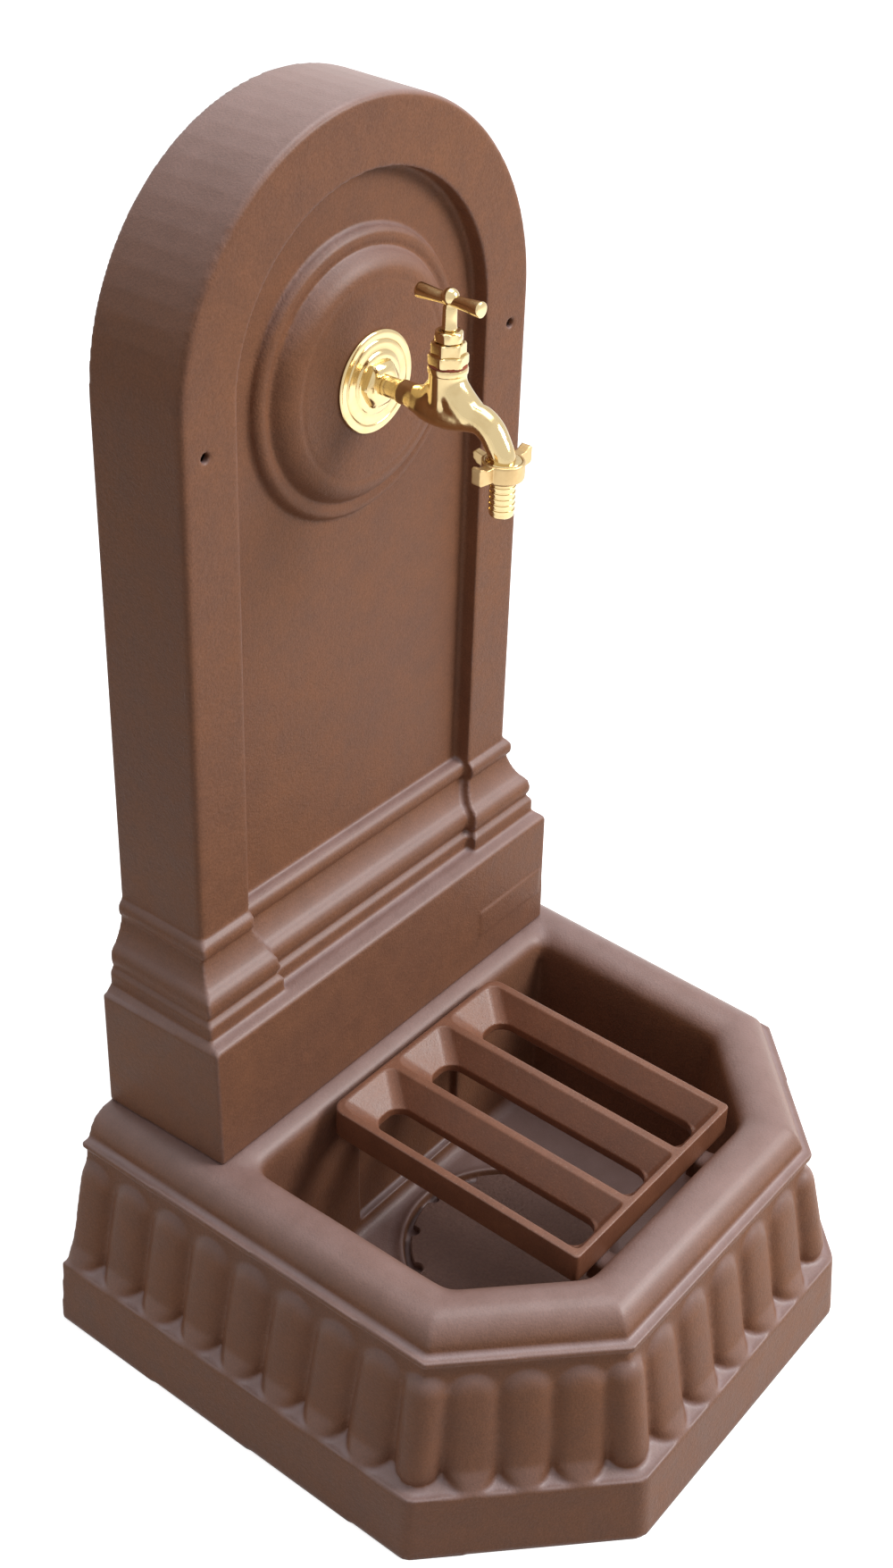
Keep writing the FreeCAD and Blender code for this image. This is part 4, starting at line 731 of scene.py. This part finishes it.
def makeScrewTree(form):
    tree, given, result = newTree("threadedFasteners", (
        ("Head Sides", "Int", 6), ("Head Radius", "Float", 0.0098),
        ("Head Height", "Float", 0.0064),
        ("Shank Radius", "Float", 0.005), ("Shank Length", "Float", 0.03),
        ("Thread Pitch", "Float", 0.0015), ("Thread Depth", "Float", 0.0006),
        ("Tilt", "Rotation", None), ("Finish", "Material", None)))
    g = given.outputs
    head = addNode(tree, "GeometryNodeMeshCylinder",
                   {"Vertices": g["Head Sides"], "Radius": g["Head Radius"],
                    "Depth": g["Head Height"]}, Side_Segments=form["headRows"])
    x, y, z, reach, angle = placeFields(tree)
    high = over(tree, z, over(tree, g["Head Height"], 2.0))
    nearEnd = sums(tree, "POWER", sums(tree, "ABSOLUTE", high), form["edgePower"])
    drawn = less(tree, 1.0, times(tree, nearEnd, form["edgeDraw"]))
    smaller = times(tree, reach, drawn)
    headShape = reshaped(tree, head.outputs["Mesh"], reach, smaller, x, y, z,
                         over(tree, g["Head Height"], 2.0))
    turns = over(tree, g["Shank Length"], g["Thread Pitch"])
    steps = addNode(tree, "FunctionNodeFloatToInt", {0: times(tree, turns, form["rowsPerTurn"])})
    shank = addNode(tree, "GeometryNodeMeshCylinder",
                    {"Radius": g["Shank Radius"], "Depth": g["Shank Length"],
                     "Side Segments": steps.outputs[0]}, Vertices=form["shankSides"])
    x, y, z, reach, angle = placeFields(tree)
    phase = less(tree, over(tree, z, g["Thread Pitch"]), over(tree, angle, 2 * math.pi))
    wave = times(tree, sums(tree, "PINGPONG", phase, 0.5), 2.0)
    onSide = sums(tree, "GREATER_THAN", reach, times(tree, g["Shank Radius"], 0.5))
    cut = times(tree, times(tree, wave, g["Thread Depth"]), onSide)
    threaded = reshaped(tree, shank.outputs["Mesh"], reach, less(tree, reach, cut),
                        x, y, z, times(tree, g["Shank Length"], -0.5))
    both = addNode(tree, "GeometryNodeJoinGeometry")
    linked(tree, headShape, both.inputs[0])
    linked(tree, threaded, both.inputs[0])
    placedCopies(tree, given, result, both.outputs[0])
    return tree


# Ring or nut with a bore; Taper makes its upper end narrower, as on a barb, and Flats six-sided
ringForm = {"sides": 48, "rows": 8, "edgePower": 8.0}


def makeRingTree(form):
    tree, given, result = newTree("ringsAndNuts", (
        ("Outer Radius", "Float", 0.01), ("Bore", "Float", 0.005), ("Height", "Float", 0.002),
        ("Flats", "Float", 1.0), ("Taper", "Float", 1.0), ("Soft Edge", "Float", 0.04),
        ("Tilt", "Rotation", None), ("Finish", "Material", None)))
    g = given.outputs
    parts = []
    for role in ("side", "bore", "top", "foot"):
        shell = addNode(tree, "GeometryNodeMeshCylinder",
                        {"Radius": g["Outer Radius"], "Depth": g["Height"]}, fill_type="NONE",
                        Vertices=form["sides"],
                        Side_Segments=form["rows"] if role == "side" else 1)
        x, y, z, reach, angle = placeFields(tree)
        high = over(tree, z, times(tree, g["Height"], 0.5))
        upper = sums(tree, "GREATER_THAN", z, 0.0)
        level = {"side": high, "bore": high, "top": 1.0, "foot": -1.0}[role]
        lift = times(tree, plus(tree, level, 1.0), 0.5)
        narrow = plus(tree, 1.0, times(tree, lift, less(tree, g["Taper"], 1.0)))
        nearEnd = sums(tree, "POWER", sums(tree, "ABSOLUTE", level), form["edgePower"])
        edge = times(tree, nearEnd, g["Soft Edge"])
        rim = times(tree, g["Outer Radius"], less(tree, narrow, edge))
        off = sums(tree, "WRAP", angle, math.pi / 6, -math.pi / 6)
        flat = over(tree, times(tree, g["Flats"], 0.5), sums(tree, "COSINE", off))
        rim = sums(tree, "MINIMUM", rim, flat)
        if role == "bore":
            rim = g["Bore"]
        elif role != "side":
            inner = times(tree, less(tree, 1.0, upper), g["Bore"])
            rim = plus(tree, times(tree, upper, rim), inner)
        drop = 0.0
        if role in ("top", "foot"):
            drop = less(tree, times(tree, g["Height"], level * 0.5), z)
        parts.append(reshaped(tree, shell.outputs["Mesh"], reach, rim, x, y, z, drop))
    whole = addNode(tree, "GeometryNodeJoinGeometry")
    for part in parts:
        linked(tree, part, whole.inputs[0])
    closed = addNode(tree, "GeometryNodeMergeByDistance", {"Geometry": whole.outputs[0]},
                     Distance=1e-6)
    placedCopies(tree, given, result, closed.outputs[0])
    return tree


# Round cover with scalloped notches in its edge and a rough cast face
coverForm = {"sides": 480, "rows": 5, "rings": 64, "biteScale": 22.0, "bite": (0.55, 1.25),
             "edgeFrom": 0.80, "roundPower": 6.0, "roundOff": 0.0012, "reliefMiddle": 0.62}


def makeCoverTree(form):
    tree, given, result = newTree("notchedCover", (
        ("Radius", "Float", 0.085), ("Thickness", "Float", 0.008), ("Notches", "Int", 12),
        ("Notch Radius", "Float", 0.005), ("Cast Relief", "Float", 0.0008),
        ("Relief Scale", "Float", 260.0), ("Seed", "Float", 3.0),
        ("Tilt", "Rotation", None), ("Finish", "Material", None)))
    g = given.outputs
    disc = addNode(tree, "GeometryNodeMeshCylinder",
                   {"Radius": g["Radius"], "Depth": g["Thickness"]},
                   Vertices=form["sides"], Side_Segments=form["rows"], Fill_Segments=form["rings"])
    x, y, z, reach, angle = placeFields(tree)
    spot = addNode(tree, "GeometryNodeInputPosition").outputs[0]
    turn = over(tree, times(tree, angle, g["Notches"]), 2 * math.pi)
    off = sums(tree, "WRAP", turn, 0.5, -0.5)
    arc = times(tree, times(tree, off, 2 * math.pi), g["Radius"])
    arc = over(tree, arc, g["Notches"])
    ratio = over(tree, arc, g["Notch Radius"])
    within = less(tree, 1.0, times(tree, ratio, ratio))
    depth = sums(tree, "SQRT", sums(tree, "MAXIMUM", within, 0.0))
    size = addNode(tree, "ShaderNodeTexNoise", {"Vector": spot, "W": g["Seed"]},
                   noise_dimensions="4D", Scale=form["biteScale"], Detail=1.0)
    bite = times(tree, times(tree, depth, g["Notch Radius"]),
                 ramped(tree, size.outputs["Fac"], 0.3, 0.7, *form["bite"]))
    nearEdge = ramped(tree, over(tree, reach, g["Radius"]), form["edgeFrom"], 1.0)
    half = over(tree, g["Thickness"], 2.0)
    high = over(tree, z, half)
    nearFace = sums(tree, "POWER", sums(tree, "ABSOLUTE", high), form["roundPower"])
    roundOff = times(tree, nearFace, form["roundOff"])
    pull = times(tree, plus(tree, bite, roundOff), sums(tree, "POWER", nearEdge, 2.0))
    relief = addNode(tree, "ShaderNodeTexNoise",
                     {"Vector": spot, "W": g["Seed"], "Scale": g["Relief Scale"]},
                     noise_dimensions="4D", Detail=3.0, Roughness=0.65)
    rise = less(tree, relief.outputs["Fac"], form["reliefMiddle"])
    lump = times(tree, rise, g["Cast Relief"])
    top = sums(tree, "GREATER_THAN", high, 0.95)
    shape = reshaped(tree, disc.outputs["Mesh"], reach, less(tree, reach, pull),
                     x, y, z, times(tree, times(tree, lump, top), 2.0))
    placedCopies(tree, given, result, shape)
    return tree


screwTree = makeScrewTree(screwForm)
ringTree = makeRingTree(ringForm)
coverTree = makeCoverTree(coverForm)


# One piece from a tree: the points are its places, and inputs are set before it is evaluated
def grown(name, tree, places, inputs, finish, tilt=(0, 0, 0), angle=35):
    piece = newPiece(name, places, [])
    nodes = piece.modifiers.new("nodes", "NODES")
    nodes.node_group = tree
    values = dict(inputs, Finish=finishes[finish], Tilt=tilt)
    for item in tree.interface.items_tree:
        if item.in_out == "INPUT" and item.name in values:
            nodes[item.identifier] = values[item.name]
    settled(piece)
    tidyNormals(piece)
    shadeBy(piece, angle)
    return piece


def grownAs(node, name, tree, places, inputs, tilt=(0, 0, 0)):
    fitted(grown(name, tree, places, inputs, finishOfNode(node), tilt), node)


# Drain cover: it lies on the pads in the bowl's recess
coverSet = {"forward": 258.0, "radius": 84.0, "notches": 12, "notchRadius": 6.0, "relief": 1.2}

# Rim: where its inner edge, the lobes and the drain's pan lie, for the softening below
rimSet = {
    "insideX": 222.0, "insideSum": 572.0, "rear": 112.0, "front": 446.0,
    "outsideX": 238.0, "outsideSum": 596.0, "outsideRear": -10.0, "outsideFront": 454.0,
    "lip": (178.0, 196.0), "toe": (80.0, 100.0), "lobe": (92.0, 150.0),
    "panReach": (92.0, 100.0), "panUp": (24.0, 34.0),
    "run": 4,
}


# The bowl's inner edge, well inside the rim's crest
def innerEdge(x, forward, up):
    s = rimSet
    inside = between(np.abs(x), 0, s["insideX"], s["run"])
    inside *= between(forward, s["rear"], s["front"], s["run"])
    inside *= between(np.abs(x) + forward, 0, s["insideSum"], s["run"])
    return inside * between(up, *s["lip"], 6)


def outsideOf(x, forward):
    s = rimSet
    outside = np.maximum(1 - between(np.abs(x), 0, s["outsideX"], s["run"]),
                         1 - between(forward, s["outsideRear"], s["outsideFront"], s["run"]))
    return np.maximum(outside, 1 - between(np.abs(x) + forward, 0, s["outsideSum"], s["run"]))


# The lobes' feet, where they run out on the ledge
def lobeFeet(x, forward, up):
    return outsideOf(x, forward) * between(up, *rimSet["toe"], 8)


# The lobes' rounds and the grooves between them, over their whole height
def lobeRounds(x, forward, up):
    return outsideOf(x, forward) * between(up, *rimSet["lobe"], 10)


# The pan round the drain cover
def drainPan(x, forward, up):
    reach = np.hypot(x, forward - coverSet["forward"])
    return between(reach, *rimSet["panReach"], rimSet["run"]) * between(up, *rimSet["panUp"], 3)


# Castings: the CAD solids melted into one skin, as sand casting and thick paint round every edge;
# softer gives places that take more passes of smoothing
castSet = {
    "basinShell": {"node": "basin_casting", "voxel": 2.0, "passes": 3, "most": 196000,
                   "floor": 0.0,
                   "softer": ((innerEdge, 110), (lobeRounds, 16), (lobeFeet, 10), (drainPan, 60))},
    "uprightShell": {"node": "stele_casting", "voxel": 1.8, "passes": 2, "most": 190000},
    "bucketGrate": {"node": "bucket_grate", "voxel": 0.9, "passes": 4, "most": 150000},
}
for name, s in castSet.items():
    casting = melted(copyOfNode(name, s["node"]), s["voxel"], s["passes"], s["most"],
                     s.get("floor"), s.get("softer", ()))
    fitted(casting, s["node"])
print("castings melted")


def makeDrainCover(s):
    low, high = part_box("drain_cover")
    place = Vector((0, (low[1] + high[1]) / 2, (low[2] + high[2]) / 2))
    grownAs("drain_cover", "drainCover", coverTree, [place], {
        "Radius": s["radius"] / 1000, "Thickness": high[2] - low[2] - s["relief"] / 1000,
        "Notches": s["notches"], "Notch Radius": s["notchRadius"] / 1000})


makeDrainCover(coverSet)
print("drain cover cast")


# Tap: the height of its inlet, and how far forward the boss, the barrel and the spout are
axisUp, bossFace, barrelForward, spoutForward = 810.0, 92.5, 160.75, 214.0
barrelFoot = (0, barrelForward, 0)
spoutFoot = (0, spoutForward, 0)

# Bars are (forward, up, radius) from the neck to the hose union; turned outlines are
# (radius, up), or (radius, along) for those on the inlet's axis
tapBodySet = {
    "voxel": 0.5, "passes": 10, "junctionPasses": 120,
    "run": ((104, 810, 8.0), (114, 810, 8.0), (117.5, 810, 8.1), (119, 810, 9.3), (127, 809.9, 9.3),
            (135, 809.0, 10.9), (146, 808.0, 13.2), (160.75, 808.3, 13.9), (172, 809.4, 13.2),
            (182, 810.4, 12.0), (193, 810.0, 10.9), (202, 804.8, 10.4), (208.5, 795.8, 10.0),
            (212.5, 788.5, 9.7), (214, 779.5, 9.7)),
    "frontFillet": ((159.5, 835, 12.0), (165, 826.5, 12.6), (173, 817.5, 13.0), (184, 810, 12.2)),
    "rearFillet": ((161, 834, 11.0), (155.5, 825, 11.2), (147, 815, 10.8), (134, 810.5, 9.0)),
    "barrel": ((0, 806), (13.8, 806), (13.6, 818), (13.9, 839.5), (0, 839.5)),
    "collar": ((10.9, 837.5), (13.4, 837.5), (14.3, 838), (14.75, 839.1), (14.75, 841.9),
               (14.4, 843), (13.6, 843.5), (10.9, 843.5)),
    "thread": ((6, 60.5), (10.0, 60.5), (10.45, 61), (10.45, 104), (6, 104)),
    "ridges": 13, "firstRidge": 62.0, "ridgeStep": 1.8,
    "outlet": ((5.6, 779), (12.6, 779), (13.2, 779.6), (13.2, 786.2), (12.6, 786.8), (5.6, 786.8)),
}


# Where the barrel, the neck and the spout run into each other
def junction(x, forward, up):
    return between(forward, 138, 188, 6) * between(up, 800, 833, 4)


def makeTapBody(s):
    bars = [drawnBar("castRun", s["run"]), turned("castBarrel", s["barrel"], barrelFoot),
            drawnBar("frontFillet", s["frontFillet"]), drawnBar("rearFillet", s["rearFillet"])]
    body = melted(joined("castBody", bars), s["voxel"], s["passes"],
                  softer=((junction, s["junctionPasses"]),))
    collar = turned("barrelCollar", s["collar"], barrelFoot, ring=True, angle=60)
    thread = turned("inletThread", s["thread"], (0, 0, axisUp), axis="out", ring=True)
    places = [at(0, s["firstRidge"] + s["ridgeStep"] * k, axisUp) for k in range(s["ridges"])]
    lines = grown("inletRidges", ringTree, places,
                  {"Outer Radius": 0.01044, "Bore": 0.0098, "Height": 0.0011, "Soft Edge": 0.03},
                  "polishedBrass", tilt=(math.pi / 2, 0, 0))
    outlet = turned("outletThread", s["outlet"], spoutFoot, ring=True)
    tap = joined("tapBody", [body, collar, thread, lines, outlet], 40)
    fitted(tap, "tap_body")


makeTapBody(tapBodySet)

tapHeadSet = {
    "turn": -14.0,
    "foot": ((8.0, 835.5), (10.9, 835.5), (10.9, 844.4), (13.0, 844.5), (14.2, 844.8),
             (15.1, 845.7), (15.1, 851.1), (14.3, 852), (12.9, 852.7), (8.0, 852.7)),
    "footFlats": 26.0,
    "top": ((7.0, 852.3), (13.1, 852.3), (13.1, 859.9), (12.4, 860.8), (11.2, 861.5),
            (7.2, 861.5), (7.2, 866.3), (7.0, 866.3)),
    "topFlats": 22.6,
    "gland": ((4.15, 861.6), (9.2, 861.6), (10.4, 862.3), (10.7, 863.4), (10.6, 867.4),
              (10.0, 868.9), (9.0, 869.7), (7.6, 870.0), (4.15, 870.0)),
    "glandFlats": 19.6,
}


def makeTapHead(s):
    lower = turned("bonnetFoot", s["foot"], barrelFoot, flats=s["footFlats"], flatTurn=s["turn"],
                   ring=True)
    upper = turned("bonnetTop", s["top"], barrelFoot, flats=s["topFlats"], flatTurn=s["turn"],
                   ring=True)
    fitted(joined("tapBonnet", [lower, upper]), "bonnet")
    gland = turned("glandNut", s["gland"], barrelFoot, flats=s["glandFlats"], ring=True)
    fitted(gland, "gland_nut")


makeTapHead(tapHeadSet)

# Handle: a shank that ends in a ball, and a bar through it, thicker towards its ends
handleSet = {
    "shank": ((0, 870.5), (5.5, 870.5), (5.7, 870.8), (5.7, 871.9), (5.4, 872.7), (5.3, 880),
              (5.2, 886.0), (4.9, 887.2), (4.6, 888.2), (4.7, 889.2)),
    "ballUp": 894.4, "ballRadius": 6.6, "ballNeck": 4.7, "ballSteps": 20,
    "barUp": 892.2,
    "wing": ((28.5, 0.0), (28.5, 5.2), (28.2, 5.7), (27.6, 5.9), (26.5, 5.85), (16.0, 5.0),
             (7.5, 4.5), (5.5, 4.4)),
}


def ballLine(middle, radius, neck, steps):
    first = math.asin(neck / radius)
    turns = [first + (math.pi - first) * k / steps for k in range(steps + 1)]
    return tuple((radius * math.sin(turn), middle - radius * math.cos(turn)) for turn in turns)


def makeHandle(s):
    ball = ballLine(s["ballUp"], s["ballRadius"], s["ballNeck"], s["ballSteps"])
    hub = turned("handleHub", s["shank"] + ball, barrelFoot, angle=50)
    fitted(hub, "handle_hub")
    line = [(r, barrelForward - reach) for reach, r in s["wing"]]
    line += [(r, barrelForward + reach) for reach, r in s["wing"][::-1]]
    bar = turned("handleBar", line, (0, 0, s["barUp"]), axis="out", angle=50)
    fitted(bar, "handle_bar")


makeHandle(handleSet)

rosetteSet = {
    "thick": 4.9,
    "line": ((10.8, 0), (39.2, 0), (39.9, 0.5), (40.0, 1.2), (39.6, 1.9), (38.6, 2.4), (37.0, 2.6),
             (34.2, 2.7), (33.5, 2.5), (33.0, 2.1), (32.5, 2.5), (31.6, 2.9), (29.0, 3.1),
             (25.6, 3.2), (24.6, 3.4), (23.6, 4.2), (22.6, 4.7), (20.8, 4.9), (10.8, 4.9)),
    "collar": ((8.2, 0.05), (19.0, 0.05), (19.4, 0.5), (19.4, 1.8), (18.0, 3.2), (15.6, 4.7),
               (12.9, 5.9), (10.4, 6.5), (8.2, 6.5)),
    "collarFlats": 33.4,
}


def makeRosette(s):
    rosette = turned("wallRosette", s["line"], (0, bossFace, axisUp), axis="out", ring=True,
                     count=160, angle=50)
    fitted(rosette, "wall_rosette")
    collar = turned("inletCollar", s["collar"], (0, bossFace + s["thick"], axisUp), axis="out",
                    flats=s["collarFlats"], flatTurn=30, ring=True, count=144)
    fitted(collar, "inlet_collar")


makeRosette(rosetteSet)

# Union nut: a ring with ears, each a side view of (reach, up), a width and a direction
unionSet = {
    "voxel": 0.45, "passes": 5,
    "ring": ((10.2, 771.5), (13.2, 771.5), (15.2, 773.0), (15.7, 774.5), (15.8, 785.2),
             (15.2, 786.4), (13.3, 786.5), (13.3, 774), (10.2, 774)),
    "wide": ((11, 774.2), (28.0, 775.2), (29.4, 776.6), (29.6, 787.4), (28.2, 788.9),
             (25.6, 788.2), (22.0, 786.0), (14.4, 785.8), (14.4, 775)),
    "small": ((14.4, 777), (20.5, 779.5), (23.5, 783.0), (24.0, 787.4), (22.2, 788.6),
              (14.4, 786)),
    "ears": (("wide", 8.5, 2), ("wide", 8.5, 176), ("small", 6.5, 98)),
}


def earOf(line, width, degrees):
    turn = math.radians(degrees)
    points = []
    for side in (-width / 2, width / 2):
        for reach, up in line:
            points.append(at(reach * math.cos(turn) - side * math.sin(turn),
                             spoutForward - reach * math.sin(turn) - side * math.cos(turn), up))
    n = len(line)
    faces = [tuple(range(n)), tuple(range(2 * n - 1, n - 1, -1))]
    faces += [(k, (k + 1) % n, n + (k + 1) % n, n + k) for k in range(n)]
    ear = newPiece("ear", points, faces)
    tidyNormals(ear)
    return ear


def makeUnion(s):
    parts = [turned("unionRing", s["ring"], spoutFoot, ring=True)]
    parts += [earOf(s[line], width, degrees) for line, width, degrees in s["ears"]]
    fitted(melted(joined("unionNut", parts), s["voxel"], s["passes"]), "union_nut", "castBrass")


makeUnion(unionSet)

tailSet = {
    "tube": ((6.5, 743.0), (8.3, 743.0), (8.9, 743.6), (9.25, 745.0), (9.25, 773.9),
             (12.2, 774.1), (12.2, 776.9), (6.5, 776.9)),
    "barbs": 5, "firstBarb": 747.3, "barbStep": 4.6,
}


def makeTail(s):
    tube = turned("tailTube", s["tube"], spoutFoot, ring=True)
    places = [at(0, spoutForward, s["firstBarb"] + s["barbStep"] * k) for k in range(s["barbs"])]
    barbs = grown("tailBarbs", ringTree, places, {
        "Outer Radius": 0.0099, "Bore": 0.0085, "Height": 0.0034, "Taper": 0.935,
        "Soft Edge": 0.012}, "polishedBrass", tilt=(math.pi, 0, 0), angle=25)
    fitted(joined("hoseTail", [tube, barbs], 25), "hose_tail")


makeTail(tailSet)
print("tap built")


# Fasteners: bolts that hold the upright on the deck, cover screws and clip screws
boltSet = {
    "feet": [(x, forward) for x in (-174, 174) for forward in (32, 94)],
    "headFoot": 214.0, "deckLow": 193.0, "nut": 8.4, "washer": 2.0,
}


def makeFootFasteners(s):
    def placesAt(up):
        return [at(x, forward, up) for x, forward in s["feet"]]

    grownAs("base_bolts", "footBolts", screwTree, placesAt(s["headFoot"]), {
        "Head Sides": 6, "Head Radius": 0.00981, "Head Height": 0.0064, "Shank Radius": 0.005,
        "Shank Length": 0.0344, "Thread Pitch": 0.0015, "Thread Depth": 0.0007})
    half = s["washer"] / 2
    rings = placesAt(s["headFoot"] - half) + placesAt(s["deckLow"] - half)
    grownAs("base_washers", "footWashers", ringTree, rings, {
        "Outer Radius": 0.01, "Bore": 0.0053, "Height": s["washer"] / 1000})
    middles = placesAt(s["deckLow"] - s["washer"] - s["nut"] / 2)
    grownAs("base_nuts", "footNuts", ringTree, middles, {
        "Outer Radius": 0.0097, "Bore": 0.0051, "Height": s["nut"] / 1000, "Flats": 0.017,
        "Soft Edge": 0.07})


makeFootFasteners(boltSet)

fromBehind = (-math.pi / 2, 0, 0)
coverScrewSet = {"reach": 175.5, "upright": (345.0, 600.0), "shoulder": 850.0, "archUp": 828.5,
                 "headFoot": 3.0}


def makeCoverScrews(s):
    places = [(side * s["reach"], up) for side in (1, -1) for up in s["upright"]]
    wide = math.sqrt(s["reach"] ** 2 - (s["shoulder"] - s["archUp"]) ** 2)
    places += [(-wide, s["shoulder"]), (wide, s["shoulder"]), (0, s["archUp"] + s["reach"])]
    places = [at(x, s["headFoot"], up) for x, up in places]
    grownAs("rear_cover_screws", "coverScrews", screwTree, places, {
        "Head Sides": 32, "Head Radius": 0.0049, "Head Height": 0.0024, "Shank Radius": 0.003,
        "Shank Length": 0.014, "Thread Pitch": 0.001, "Thread Depth": 0.0004}, fromBehind)


makeCoverScrews(coverScrewSet)

clipScrewSet = {"side": 14.0, "heights": (480.0, 650.0), "headFoot": 64.0}


def makeClipScrews(s):
    places = [at(side * s["side"], s["headFoot"], up) for up in s["heights"] for side in (-1, 1)]
    grownAs("clip_screws", "clipScrews", screwTree, places, {
        "Head Sides": 24, "Head Radius": 0.0036, "Head Height": 0.0022, "Shank Radius": 0.002,
        "Shank Length": 0.007, "Thread Pitch": 0.0007, "Thread Depth": 0.0003}, fromBehind)


makeClipScrews(clipScrewSet)
print("fasteners set")

# Machined and drawn pieces: the solid's own shape, with every edge broken by so many mm
easedSet = {
    "rearCover": ("rear_cover", 0.5),
    "pipeClips": ("pipe_clips", 0.3),
    "supplyElbow": ("supply_elbow", 0.6),
    "supplyRiser": ("supply_riser", 0.25),
    "supplyInletPipe": ("supply_inlet_pipe", 0.25),
    "inletCoupler": ("inlet_coupler", 0.5),
    "deckGrommet": ("deck_grommet", 0.6),
    "tapBackNut": ("tap_back_nut", 0.5),
    "tapBackWasher": ("tap_back_washer", 0.25),
    "stopValveBody": ("stop_valve_body", 0.6),
    "stopValveLever": ("stop_valve_lever", 0.5),
    "stopValveNut": ("stop_valve_nut", 0.3),
    "stopValveStem": ("stop_valve_stem", 0.2),
}
for name, (node, width) in easedSet.items():
    fitted(eased(copyOfNode(name, node), width), node)
print("supply line dressed")
